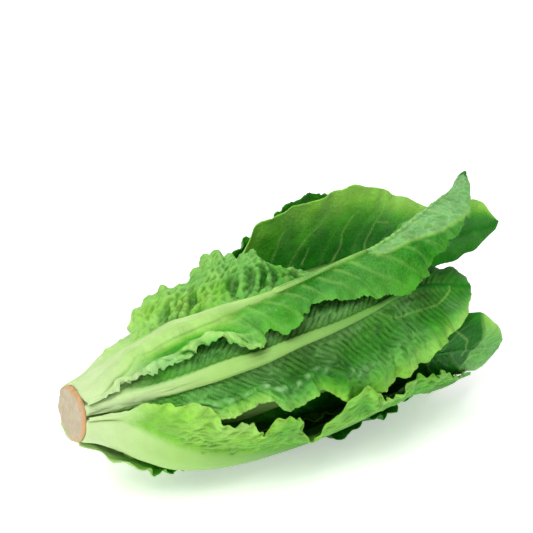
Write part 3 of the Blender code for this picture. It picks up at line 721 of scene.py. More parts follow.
class Surface:
    """A leaf's relief and colours, worked out at every point of its sheet.

    The pairs below are where something sets in and over how much it does so, as shares of the
    way along the leaf or, where the comment says it, of the way from the midrib to the edge.
    """

    STRONG = (0.06, 0.2)  # the relief
    WEAKER = (0.75, 0.25)  # the relief again, towards the tip
    CALM_BASE = 0.12  # the edge's waves fade out over this share at the stem
    CALM_TIP = 0.1  # and over this one at the tip
    BARE_END = 0.06  # a bare strip ends over this share
    BARE_EDGE = (0.55, 0.12)  # where it ends towards the edge
    FRILL_EDGE = (0.58, 0.12)  # where its frill begins towards the edge
    LARGE = (24, 8)  # size of a large hollow across and along the leaf, in millimetres
    LARGE_FROM = (0.16, 0.1)  # the large hollows
    CREASE_FROM = (0.12, 0.2)  # the long fold
    CREASE_TO = (0.58, 0.12)  # its end
    FLESH_FROM = 0.03  # the pale flesh at the stem fades from here
    SIDE_SHIFT = 0.43  # of a spacing, between the side veins of the two sides

    def __init__(self, relief: Relief, spots: Spots) -> None:
        """Works out the parts of the leaf that its relief and its colours share.

        Args:
            relief: What the leaf's relief is like.
            spots: Where each point is on the leaf.
        """
        self.relief, self.spots = relief, spots
        share, edge = spots.share, spots.edge
        self.side = np.sign(spots.x)
        self.out = np.abs(spots.x) - spots.rib
        self.on_blade = rise(self.out, 0, 5)
        self.strong = rise(share, *self.STRONG) * (1 - 0.45 * rise(share, *self.WEAKER))
        self.plain = rise(share, np.where(self.side < 0, *relief.plain), 0.1)
        bare_side, bare_to = relief.strip
        strip = (self.side == bare_side) * (1 - rise(share, bare_to, self.BARE_END))
        self.strip = strip * rise(share, 0, 0.08)
        self.frill = self.strip * rise(edge, *self.FRILL_EDGE)
        self.bare = self.strip * (1 - rise(edge, *self.BARE_EDGE))
        self.vein, self.root = self.side_veins()
        depth, lot = self.meshes(relief.cell, 0.35, 9, 0)
        self.sunk = rise(depth, 0, 0.45) * (0.35 + 0.65 * lot)
        fade = self.on_blade * self.strong * (1 - 0.5 * edge**3)
        self.fade = fade * (1 - 0.8 * self.plain) * (1 - 0.95 * self.strip)
        depth, lot = self.meshes(self.LARGE, 0.25, 11, 1)
        pit = rise(depth, 0, 0.4) * rise(lot, 0.25, 0.2) * hump(self.out - 12, 12)
        pit = pit * rise(share, *self.LARGE_FROM) * (relief.deep > 0)
        self.pit = pit * (1 - self.plain) * (1 - self.strip)
        self.run = spots.y - 0.25 * np.abs(spots.x)  # along the edge's waves
        self.crinkle = cloud(self.run / 3.2, 5 * edge, relief.seed + 32)
        self.line = hump(self.near_drawn(relief.drawn), relief.line_width)
        self.patch = self.in_patch() if relief.patch else 0 * share
        self.on_crease = self.crease() if relief.crease[1] else 0 * share

    def noise(self, number: int, across: float, along: float) -> np.ndarray:
        """Smooth noise whose swellings have a size across and along the leaf, in millimetres."""
        return cloud(self.spots.x / across, self.spots.y / along, self.relief.seed + number)

    def meshes(self, size: tuple, warp: float, grain: float, number: int) -> tuple[np.ndarray, np.ndarray]:
        """A net whose meshes follow the side veins.

        Args:
            size: Of a mesh, across and along.
            warp: How uneven it is.
            grain: Size of its unevenness.
            number: Tells the leaf's nets from one another.

        Returns:
            What `cells` gives.
        """
        lead = 30  # keeps the two sides of the leaf apart in the net's pattern
        first, second = (warp * self.noise(n + 2 * number, grain, grain) + lead for n in (5, 6))
        return cells(self.out / size[0] + first,
                     self.root / size[1] + second + 20 * (self.side > 0), self.relief.seed + 10 + number)

    def side_veins(self) -> tuple[np.ndarray, np.ndarray]:
        """Where the side veins run.

        Returns:
            How close each point is to a side vein, 0 to 1, and how far along the leaf its own
            vein leaves the midrib.
        """
        relief, spots = self.relief, self.spots
        x = np.clip(self.out, 0, None)
        y = spots.y + np.where(self.side > 0, self.SIDE_SHIFT, 0) * relief.spacing
        root = y - relief.lean * x - relief.bend * x**2 + 2.0 * cloud(x / 14, y / 14, relief.seed + 40)
        phase = root / relief.spacing + 0.25 * np.sin(root / 23)
        gap = np.abs(phase - np.round(phase)) * relief.spacing
        gap = gap / np.sqrt(1 + (relief.lean + 2 * relief.bend * x) ** 2)
        vein = hump(gap, 0.55 + 0.75 * np.exp(-x / 16))
        return vein * rise(self.out, 0, 1.5) * (1 - 0.55 * spots.edge), root

    def near_drawn(self, lines: tuple) -> np.ndarray:
        """The distance from each point to the nearest of some lines of (x, y) points.

        Args:
            lines: The lines.

        Returns:
            The distances, in millimetres.
        """
        gap = np.full(self.out.shape, 99.0)
        for line in lines:
            at = np.linspace(0, len(line) - 1, 12 * len(line))
            for a, b in through(np.column_stack([np.arange(len(line)), line]), at):
                gap = np.minimum(gap, np.hypot(self.spots.x - a, self.spots.y - b))
        return gap

    def in_patch(self) -> np.ndarray:
        """How far each point is inside the leaf's patch, 0 outside and 1 well inside.

        Returns:
            A number for each point.
        """
        x, y, corners = self.spots.x, self.spots.y, self.relief.patch
        inside = np.zeros(x.shape, bool)
        for (a, b), (c, d) in zip(corners, corners[1:] + corners[:1]):
            crosses = (b > y) != (d > y)
            inside ^= crosses & (x < a + (c - a) * (y - b) / (d - b if d != b else 1))
        return inside * rise(self.near_drawn((corners,)), 0, 1.5)

    def crease(self) -> np.ndarray:
        """How close each point is to the top of the leaf's long fold.

        Returns:
            A number from 0 to 1 for each point.
        """
        place, _, half_width = self.relief.crease
        there = hump(self.spots.edge - abs(place), half_width) * (self.side == math.copysign(1, place))
        share = self.spots.share
        return there * rise(share, *self.CREASE_FROM) * (1 - rise(share, *self.CREASE_TO))

    def move(self) -> np.ndarray:
        """How far each point of the sheet moves outwards.

        Returns:
            Millimetres, less than 0 where it moves inwards.
        """
        relief, seed, side, out, run = self.relief, self.relief.seed, self.side, self.out, self.run
        share, edge = self.spots.share, self.spots.edge
        off_plain, off_strip = 1 - self.plain, 1 - self.strip
        height, length = relief.wave
        wave = np.sin(2 * math.pi * run / length + 2.5 * cloud(run / 31, side + 5, seed + 30) + 2 * side)
        small = cloud(run / (0.33 * length), 3 * side + 9, seed + 31)
        tiny = cloud(run / 1.7, 9 * edge, seed + 33)
        calm = rise(share, 0, self.CALM_BASE) * rise(1 - share, 0, self.CALM_TIP)
        calm = calm * rise(self.spots.width, 0, 18)
        swell = self.noise(20, 17, 15) + 0.5 * self.noise(21, 8, 8)
        vein = self.vein * self.strong * np.exp(-np.clip(out, 0, None) / 38)
        return (
            -relief.hollow * self.sunk * self.fade
            + relief.swell * swell * (self.fade + 0.5 * self.plain) * rise(out, 0, 12)
            + relief.vein * vein * (1 - 0.7 * self.plain) * off_strip
            + (height * wave * edge**2.5 + 0.5 * height * small * edge**5) * calm
            - 2.0 * self.bare * np.sin(math.pi * np.clip(edge / 0.7, 0, 1))
            + self.frill * (2.2 * edge + 3.6 * self.crinkle + 1.2 * tiny)
            - relief.deep * self.pit * self.on_blade
            - relief.ditch * hump(out - 2, 2.6) * self.strong * off_strip * off_plain
            + relief.crease[1] * self.on_crease
            + relief.ridge * self.line
            - 0.5 * self.patch
        )

    def thicker(self) -> np.ndarray:
        """How much thicker the midrib's grooves and the side veins make the leaf.

        Returns:
            Millimetres, less than 0 in the grooves.
        """
        x, rib = self.spots.x, self.spots.rib
        grooves = np.cos(2 * math.pi * 2.5 * x / np.maximum(rib, 1)) + 0.6 * self.noise(50, 1.1, 40)
        grooves = self.relief.groove * grooves * (1 - rise(np.abs(x), 0.7 * rib, 3)) * (rib > 3)
        return grooves + 0.35 * self.relief.vein * self.vein * self.strong

    def tone(self) -> np.ndarray:
        """How dark the green is at each point.

        Returns:
            A number for each point, 0 for the palest green and 1 for the darkest.
        """
        relief, share, edge = self.relief, self.spots.share, self.spots.edge
        near, half_way, tip = relief.tone
        tone = np.where(share < 0.5, near + (half_way - near) * rise(share, 0, 0.5),
                        half_way + (tip - half_way) * rise(share, 0.5, 0.5))
        tone = tone + 0.10 * self.noise(60, 22, 26) + 0.05 * self.noise(61, 7, 8)
        # the edges' paleness: partly the leaf's own colour, partly painted light, and painted shade where it
        # is below 0
        pale = np.where(self.side < 0, *relief.pale_edge)
        tone = tone - pale * rise(edge, relief.pale_from, 1 - relief.pale_from)
        # the large hollows get a darker green, painted shade
        tone = tone + 0.05 * (1 - rise(self.out, 0, 15)) + 0.1 * self.plain + 0.25 * self.pit
        # the frill is paler on its raised crinkles and darker between them, painted highlight and shade
        frill = (0.3 - 0.35 * self.crinkle - tone) * self.frill
        # the bare strip goes from pale yellow-green at the midrib to darker green at its frill, partly its
        # own colour and partly painted shadow of the frill
        return tone + (0.12 + edge - tone) * self.bare + frill + relief.patch_look[0] * self.patch

    def painted_sheen(self) -> np.ndarray:
        """How strongly a whitish sheen is painted at each point, with painted highlights along the crease
        and on the frill.

        Returns:
            A number for each point, 0 where there is none.
        """
        relief = self.relief
        painted_sheen = relief.painted_sheen * rise(self.noise(70, 15, 19), -0.5, 1) * self.on_blade
        painted_sheen = painted_sheen * (1 - self.sunk * self.fade)
        # painted highlights along the top of the long fold
        painted_sheen = painted_sheen + 0.55 * self.on_crease * rise(1.5 * self.noise(71, 2, 3), -0.4, 1)
        painted_sheen = painted_sheen * (1 - self.pit) * (1 - 0.7 * self.plain) * (1 - self.bare)
        return painted_sheen + relief.patch_look[1] * self.patch * (1 - 0.5 * self.sunk) + 0.3 * self.frill

    def on_rib(self) -> np.ndarray:
        """How much of the midrib's colour shows at each point.

        Returns:
            A number from 0 to 1 for each point.
        """
        relief, share, rib = self.relief, self.spots.share, self.spots.rib
        off_middle = np.abs(self.spots.x)
        rib_itself = 1 - rise(off_middle, 0.85 * rib, 0.2 * rib + 0.9)
        rib_itself = rib_itself * (1 - 0.6 * self.strip * rise(off_middle / rib, 0, 1))
        rib_itself = rib_itself * (1 - rise(share, relief.rib_end, 0.1))
        bare = 0.4 * self.bare * (1 - rise(self.spots.edge, 0, 0.3))
        flesh = 0.9 * (1 - rise(share, self.FLESH_FROM, relief.pale_base))
        return np.maximum(np.maximum(rib_itself, bare), flesh)

    def masks(self) -> dict[str, np.ndarray]:
        """The masks that the leaf's material reads.

        Returns:
            For each mask's name, a number for each point.
        """
        relief, edge = self.relief, self.spots.edge
        vein = self.vein * self.strong * relief.pale_vein * (1 - 0.4 * edge)
        # the hollow mask, which the skin darkens as painted shade, the large hollows included
        hollow = self.sunk * self.fade * min(1, relief.hollow) + 0.8 * self.pit
        return {
            "along": self.spots.share * relief.rib_age,
            "rib": self.on_rib(),
            "vein": np.clip(np.maximum(vein, relief.pale_line * self.line), 0, 1),
            "net": relief.net * self.strong * (1 - 0.5 * edge) * (1 - self.strip),
            "hollow": np.clip(hollow, 0, 1),
            "painted_sheen": np.clip(self.painted_sheen(), 0, 1),
            "tone": np.clip(self.tone(), 0, 1),
        }


@dataclass
class Wiring:
    """Adds nodes to a node tree and links them."""

    tree: bpy.types.NodeTree

    def feed(self, node: bpy.types.Node, inputs: dict) -> None:
        """Sets or links inputs of a node.

        Args:
            node: The node.
            inputs: A value or a socket for each input, by name or number.
        """
        for name, value in inputs.items():
            if isinstance(value, bpy.types.NodeSocket):
                self.tree.links.new(value, node.inputs[name])
            else:
                node.inputs[name].default_value = value

    def node(self, kind: str, inputs: dict | None = None, **settings: object) -> bpy.types.Node:
        """Adds one node.

        Args:
            kind: Its type name.
            inputs: A value or a socket for each input, by name or number.
            **settings: Its own settings.

        Returns:
            The node.
        """
        made = self.tree.nodes.new(kind)
        for name, value in settings.items():
            setattr(made, name, value)
        self.feed(made, inputs or {})
        return made

    def mask(self, name: str) -> bpy.types.NodeSocket:
        """What a piece's own attribute holds."""
        return self.node("ShaderNodeAttribute", attribute_name=name).outputs["Fac"]

    def noise(self, spot: bpy.types.NodeSocket, scale: float, detail: float,
              **inputs: float) -> bpy.types.NodeSocket:
        """Noise from 0 to 1, at a scale and with a detail."""
        made = self.node("ShaderNodeTexNoise", {"Vector": spot, "Scale": scale, "Detail": detail, **inputs})
        return made.outputs["Fac"]

    def maths(self, operation: str, a: object, b: object = 0.0, c: object = 0.0) -> bpy.types.NodeSocket:
        """The result of one operation, such as MULTIPLY_ADD, on two or three numbers or sockets."""
        return self.node("ShaderNodeMath", {0: a, 1: b, 2: c}, operation=operation).outputs[0]

    def mix(self, share: object, a: object, b: object, blend: str = "MIX") -> bpy.types.NodeSocket:
        """Colour a turned into colour b, by a share from 0 to 1."""
        settings = {"data_type": "RGBA", "blend_type": blend, "clamp_factor": True}
        return self.node("ShaderNodeMix", {0: share, 6: a, 7: b}, **settings).outputs[2]

    def between(self, value: object, low: float, high: float, out_low: float = 0.0,
                out_high: float = 1.0) -> bpy.types.NodeSocket:
        """A value from `low` to `high` brought to the range from `out_low` to `out_high`."""
        inputs = {"Value": value, "From Min": low, "From Max": high, "To Min": out_low, "To Max": out_high}
        return self.node("ShaderNodeMapRange", inputs, interpolation_type="SMOOTHSTEP").outputs["Result"]

    def ramp(self, value: bpy.types.NodeSocket, stops: tuple) -> bpy.types.NodeSocket:
        """A colour that follows a value.

        Args:
            value: The value.
            stops: The (place, colour) pairs that it passes.

        Returns:
            The colour.
        """
        made = self.node("ShaderNodeValToRGB", {"Fac": value})
        band = made.color_ramp
        while len(band.elements) < len(stops):
            band.elements.new(0.5)
        for element, (place, colour) in zip(band.elements, stops):
            element.position = place
            element.color = (*colour, 1)
        return made.outputs["Color"]

    def bump(self, height: bpy.types.NodeSocket, strength: float) -> bpy.types.NodeSocket:
        """The normal of a surface with a fine grain of 0.6 mm at most."""
        made = self.node("ShaderNodeBump", {"Height": height, "Strength": strength, "Distance": 0.6 * MM})
        return made.outputs["Normal"]


def new_material(name: str) -> tuple[bpy.types.Material, Wiring, bpy.types.Node]:
    """Starts a material.

    Args:
        name: Its name.

    Returns:
        The material, the wiring of its nodes and its shader.
    """
    made = bpy.data.materials.new(name)
    made.use_nodes = True
    return made, Wiring(made.node_tree), made.node_tree.nodes["Principled BSDF"]


def to_mesh(solid: bmesh.types.BMesh, name: str) -> bpy.types.Mesh:
    """Turns a bmesh into a new mesh, and frees it.

    Args:
        solid: The bmesh.
        name: The mesh's name.

    Returns:
        The mesh.
    """
    mesh = bpy.data.meshes.new(name)
    solid.to_mesh(mesh)
    solid.free()
    return mesh


def give_mask(mesh: bpy.types.Mesh, name: str, values: np.ndarray) -> None:
    """Stores a number for each point of a mesh, for its material to read."""
    layer = mesh.attributes.new(name, "FLOAT", "POINT")
    layer.data.foreach_set("value", values.astype(np.float32))


def add_object(name: str, data: bpy.types.ID) -> bpy.types.Object:
    """Puts a mesh, a light or a camera into the scene, at the origin.

    Args:
        name: The object's name.
        data: What it shows.

    Returns:
        The object.
    """
    made = bpy.data.objects.new(name, data)
    bpy.context.scene.collection.objects.link(made)
    return made


def skin_group() -> bpy.types.NodeTree:
    """The group that colours a blade: small veins, mottling, the grain of its skin and painted shade in its
    hollows.

    It reads the masks that each leaf carries, and its UV map, which is in metres.

    Returns:
        The group.
    """
    tree = bpy.data.node_groups.new("leaf_skin", "ShaderNodeTree")
    for name, kind, way in (
        ("Green", "NodeSocketColor", "INPUT"),
        ("Vein Green", "NodeSocketColor", "INPUT"),
        ("Net", "NodeSocketFloat", "INPUT"),
        ("Color", "NodeSocketColor", "OUTPUT"),
        ("Roughness", "NodeSocketFloat", "OUTPUT"),
        ("Height", "NodeSocketFloat", "OUTPUT"),
    ):
        tree.interface.new_socket(name, in_out=way, socket_type=kind)
    wire = Wiring(tree)
    given = wire.node("NodeGroupInput").outputs
    green = given["Green"]
    spot = wire.node("ShaderNodeUVMap", uv_map="blade").outputs["UV"]
    stretched = wire.node("ShaderNodeMapping", {"Vector": spot, "Scale": (330, 430, 1)}).outputs[0]
    bent = wire.node("ShaderNodeTexNoise", {"Vector": spot, "Scale": 260, "Detail": 2.0}).outputs["Color"]
    pushed = wire.node("ShaderNodeMixRGB", {0: 0.35, 1: stretched, 2: bent}, blend_type="ADD").outputs[0]
    net = wire.node("ShaderNodeTexVoronoi", {"Vector": pushed, "Scale": 1.0}, feature="DISTANCE_TO_EDGE")
    thread = wire.between(net.outputs["Distance"], 0.0, 0.16, 1.0, 0.0)
    mottle = wire.noise(spot, 95, 5.0, Roughness=0.6)
    patch = wire.between(mottle, 0.3, 0.7, 0.86, 1.14)
    off_rib = wire.maths("SUBTRACT", 1.0, wire.mask("rib"))
    net_share = wire.maths("MULTIPLY", wire.mask("net"), given["Net"])
    shown = wire.maths("MULTIPLY", thread, wire.maths("MULTIPLY", off_rib, net_share))
    varied = wire.mix(wire.between(off_rib, 0, 1, 0.3, 1), green, wire.mix(1.0, green, patch, "MULTIPLY"))
    veined = wire.mix(shown, varied, given["Vein Green"])
    # painted shade: the green darkens where the hollow mask is high and brightens a little where it is 0
    hollow = wire.between(wire.mask("hollow"), 0.0, 1.0, 1.12, 0.55)
    pores = wire.maths("MULTIPLY", wire.noise(spot, 1900, 2.0), 0.25)
    relief = wire.maths("MULTIPLY_ADD", thread, 0.6, pores)
    strand = wire.node("ShaderNodeMapping", {"Vector": spot, "Scale": (900, 45, 1)}).outputs[0]
    grain = wire.maths("MULTIPLY", wire.noise(strand, 1.0, 3.0), wire.mask("rib"))
    # off the midrib the colour carries the painted shade of the hollows
    wire.node("NodeGroupOutput", {
        "Color": wire.mix(off_rib, veined, wire.mix(1.0, veined, hollow, "MULTIPLY")),
        "Roughness": wire.between(mottle, 0.3, 0.7, 0.3, 0.46),
        "Height": wire.maths("MULTIPLY_ADD", grain, 0.7, wire.maths("MULTIPLY", relief, off_rib)),
    })
    return tree


@dataclass(frozen=True)
class LeafFinish:
    """Colours of a leaf, as light that it sends back."""

    name: str
    slot: str
    rib_base: tuple = (0.58, 0.74, 0.38)
    rib_middle: tuple = (0.38, 0.64, 0.17)
    rib_tip: tuple = (0.13, 0.36, 0.06)
    vein: tuple = (0.26, 0.50, 0.11, 1)
    # whitish colour of the painted sheen and painted highlights
    painted_sheen: tuple = (0.30, 0.57, 0.24, 1)
    net: float = 0.35  # how clearly the smallest veins show, 0 to 1
    greens: tuple = (
        (0.0, (0.42, 0.68, 0.17)),
        (0.25, (0.25, 0.55, 0.06)),
        (0.5, (0.08, 0.37, 0.02)),
        (0.75, (0.013, 0.19, 0.005)),
        (1.0, (0.001, 0.085, 0.001)),
    )  # (tone, colour), from the pale blade near the stem to the darkest green

    def material(self, group: bpy.types.NodeTree) -> bpy.types.Material:
        """Makes the material.

        Args:
            group: The leaf skin's node group.

        Returns:
            The material.
        """
        made, wire, shader = new_material(self.name)
        rib_stops = ((0.0, self.rib_base), (0.3, self.rib_middle), (0.75, self.rib_tip))
        # painted sheen: the green turns whitish where the sheen mask says
        green = wire.mix(wire.mask("painted_sheen"), wire.ramp(wire.mask("tone"), self.greens), self.painted_sheen)
        veined = wire.mix(wire.mask("vein"), green, self.vein)
        ribbed = wire.mix(wire.mask("rib"), veined, wire.ramp(wire.mask("along"), rib_stops))
        skin = wire.node("ShaderNodeGroup", {"Green": ribbed, "Vein Green": self.vein, "Net": self.net},
                         node_tree=group).outputs
        wire.feed(shader, {
            "Base Color": skin["Color"],
            "Roughness": skin["Roughness"],
            "Normal": wire.bump(skin["Height"], 0.5),
            "Subsurface Weight": 0.2,
            "Subsurface Radius": (0.7, 1.0, 0.15),
            "Subsurface Scale": 1.8 * MM,
            "Specular IOR Level": 0.12,
        })
        return made


@dataclass
class Leaf:
    """One leaf of the head: its solid's lines, its relief and its finish."""

    lines: Lines
    relief: Relief
    shade: Shade = Shade.LEAF
    coarse: tuple = field(default=(), repr=False)  # the solid's laid sheet and its thickness

    def lay_solid(self, packing: Packing) -> None:
        """Lays the leaf as its solid lies."""
        points, thick = Drawing(self.lines).sheet()
        self.coarse = (packing.lay(points, thick), thick)

    def toothed(self, run: np.ndarray, share: np.ndarray, width: np.ndarray, side: int) -> np.ndarray:
        """How far the teeth stand out from one edge.

        Args:
            run: Places along the edge.
            share: Shares of the way along the leaf.
            width: Half width of the leaf there.
            side: -1 or 1.

        Returns:
            Millimetres for each place.
        """
        relief = self.relief
        tooth = ragged(run, relief.pitch, relief.seed + 1 + side)
        tooth = tooth + 0.8 * ragged(run, 2.7 * relief.pitch, relief.seed + 8 + side)
        calm = rise(share, 0, 0.06) * (1 - 0.6 * rise(share, 0.6, 0.3))
        calm = calm * (1 - rise(share, relief.teeth_end, 0.12))
        return relief.teeth * tooth * calm * rise(width, 0, 14)

    def smooth(self) -> tuple[np.ndarray, np.ndarray, Spots]:
        """The leaf's smooth sheet, with the teeth cut into its edge.

        Returns:
            The grid of its inner surface, how much the midrib adds to its thickness, and where
            each point is on the leaf.
        """
        relief, (points, thick) = self.relief, self.coarse
        rows, columns = thick.shape
        at = np.linspace(0, rows - 1, relief.rows)
        packed = np.dstack([points, thick[..., None]]).reshape(rows, -1)
        packed = through(np.column_stack([np.arange(rows), packed]), at).reshape(relief.rows, columns, 4)
        middle = columns // 2
        reach = run_along(packed[..., :3], 1)
        reach = reach - reach[:, middle : middle + 1]
        along = run_along(packed[:, middle, :3])
        share = along / along[-1]
        broad, narrowing = relief.band
        band = broad * (1 - share) ** narrowing * (0.75 + 0.25 * rise(share, 0, 0.1)) + LEAST_RIB
        none = 0 * share
        lines = [(none, none, np.minimum(band, np.abs(reach[:, middle + 2])), none + 99)]
        for side, last in ((-1, 0), (1, -1)):
            rib = np.minimum(band, np.abs(reach[:, middle + 2 * side]))
            width = np.abs(reach[:, last])
            tooth = self.toothed(run_along(packed[:, last, :3]), share, width, side)
            for step in np.linspace(0, 1, relief.rib + 1)[1:]:
                lines.append((side * rib * step, none, rib, width))
            for step in np.linspace(0, 1, relief.blade + 1)[1:]:
                across = side * (rib + (width - rib) * step + tooth * step**6)
                lines.append((across, none + step, rib, width))
        lines.sort(key=lambda line: line[0][relief.rows // 2])
        spots, edges, ribs, widths = (np.stack(values, 1) for values in zip(*lines))
        sheet = np.zeros((*spots.shape, 4))
        for i in range(relief.rows):
            inside = np.clip(spots[i], reach[i, 0], reach[i, -1])
            sheet[i] = through(np.column_stack([reach[i], packed[i]]), inside)
            over = (spots[i] - inside)[:, None]
            start, end = packed[i, 0, :3] - packed[i, 1, :3], packed[i, -1, :3] - packed[i, -2, :3]
            sheet[i, :, :3] += np.where(over < 0, -over * unit(start), over * unit(end))
        extra = np.maximum(sheet[..., 3] - BLADE, 0)
        crest = extra[:, [spots.shape[1] // 2]]
        narrow = np.clip(1 - (spots / (1.1 * ribs + 0.5)) ** 2, 0, 1) ** 0.75
        ones = np.ones(spots.shape)
        where = Spots(spots, along[:, None] * ones, share[:, None] * ones, edges, ribs, widths)
        return sheet[..., :3], 0.3 * extra + 0.7 * crest * narrow, where

    def build(self, packing: Packing, materials: dict[Shade, bpy.types.Material]) -> bpy.types.Object:
        """Makes the fine leaf.

        Args:
            packing: The fine packing of the leaves laid before it.
            materials: The leaves' materials.

        Returns:
            The leaf's object.
        """
        points, thick, spots = self.smooth()
        points[..., 0] -= BASE_REACH * (1 - rise(spots.share, 0, 0.03))
        surface = Surface(self.relief, spots)
        thick = np.maximum(thick + FINE_BLADE + surface.thicker(), 0.8 * FINE_BLADE)
        points = packing.lay(points + normals_of(points) * surface.move()[..., None], thick)
        inner = set_down(points)
        outer = set_down(points + normals_of(points) * thick[..., None], 0, FLAT_HEIGHT)
        mesh = self.closed(inner, outer, spots, surface.masks())
        mesh.materials.append(materials[self.shade])
        return add_object(mesh.name, mesh)

    def closed(self, inner: np.ndarray, outer: np.ndarray, spots: Spots,
               masks: dict[str, np.ndarray]) -> bpy.types.Mesh:
        """Turns the two faces of the leaf into a closed mesh.

        Args:
            inner: Grid of points of the face towards the axis, in metres.
            outer: Grid of points of the face away from it.
            spots: Where each point is on the leaf.
            masks: What the material reads, for each point.

        Returns:
            The mesh.
        """
        rows, columns = inner.shape[:2]
        solid = bmesh.new()
        bmesh.ops.create_grid(solid, x_segments=columns - 1, y_segments=rows - 1, size=0.5)
        number = solid.verts.layers.int.new("number")
        for vertex in solid.verts:
            row = round((vertex.co.y + 0.5) * (rows - 1))
            column = round((vertex.co.x + 0.5) * (columns - 1))
            vertex[number] = row * columns + column
        raised = bmesh.ops.extrude_face_region(solid, geom=solid.faces[:], use_keep_orig=True)
        above = rows * columns
        for vertex in raised["geom"]:
            if isinstance(vertex, bmesh.types.BMVert):
                vertex[number] += above
        mesh = to_mesh(solid, f"{self.lines.name}_fine")
        numbers = np.zeros(len(mesh.vertices), np.int32)
        mesh.attributes["number"].data.foreach_get("value", numbers)
        both = np.concatenate([inner.reshape(-1, 3), outer.reshape(-1, 3)])
        mesh.vertices.foreach_set("co", both[numbers].astype(np.float32).ravel())
        mesh.attributes.remove(mesh.attributes["number"])
        spot = numbers % above
        for mask, values in masks.items():
            give_mask(mesh, mask, values.reshape(-1)[spot])
        corners = np.zeros(len(mesh.loops), np.int32)
        mesh.loops.foreach_get("vertex_index", corners)
        flat = np.stack([spots.x, spots.y], -1).reshape(-1, 2)[spot][corners] * MM
        mesh.uv_layers.new(name="blade").data.foreach_set("uv", flat.astype(np.float32).ravel())
        mesh.update()
        self.face_outwards(mesh)
        mesh.shade_smooth()
        return mesh

    def face_outwards(self, mesh: bpy.types.Mesh) -> None:
        """Turns the faces of a closed mesh so that they all point out of it.

        Args:
            mesh: The mesh.
        """
        solid = bmesh.new()
        solid.from_mesh(mesh)
        bmesh.ops.recalc_face_normals(solid, faces=solid.faces)
        solid.to_mesh(mesh)
        solid.free()


@dataclass(frozen=True)
class StemFinish:
    """Colours of the cut stem."""

    name: str = "cut_stem_flesh"
    flesh: tuple = (0.46, 0.37, 0.23, 1)
    core: tuple = (0.54, 0.47, 0.31, 1)
    brown: tuple = (0.62, 0.34, 0.15, 1)
    skin: tuple = (0.62, 0.66, 0.36, 1)

    def material(self) -> bpy.types.Material:
        """Makes the material, which reads how far out and how far back each point is.

        Returns:
            The material.
        """
        made, wire, shader = new_material(self.name)
        spot = wire.node("ShaderNodeTexCoord").outputs["Object"]
        mottle, blotch = wire.noise(spot, 240, 4.0), wire.noise(spot, 70, 3.0)
        pore = wire.node("ShaderNodeTexVoronoi", {"Vector": spot, "Scale": 900}, feature="F1")
        flesh = wire.mix(wire.between(mottle, 0.35, 0.65), self.flesh, self.core)
        ring = wire.between(wire.maths("MULTIPLY_ADD", blotch, 0.16, wire.mask("out")), 0.93, 1.02)
        patchy = wire.between(blotch, 0.38, 0.6, 0.35, 0.95)
        faced = wire.mix(wire.maths("MULTIPLY", ring, patchy), flesh, self.brown)
        pith = wire.between(wire.mask("out"), 0.34, 0.42)
        inner_ring = wire.maths("MULTIPLY", pith, wire.between(wire.mask("out"), 0.42, 0.52, 1.0, 0.0))
        faced = wire.mix(wire.maths("MULTIPLY", inner_ring, 0.35), faced, self.core)
        pitted = wire.maths("MULTIPLY_ADD", pore.outputs["Distance"], 0.4, mottle)
        wire.feed(shader, {
            "Base Color": wire.mix(wire.between(wire.mask("back"), 0.25, 1.0), faced, self.skin),
            "Roughness": wire.between(mottle, 0.3, 0.7, 0.42, 0.62),
            "Normal": wire.bump(pitted, 0.35),
            "Subsurface Weight": 0.3,
            "Subsurface Radius": (1.0, 0.8, 0.4),
            "Subsurface Scale": 2 * MM,
        })
        return made


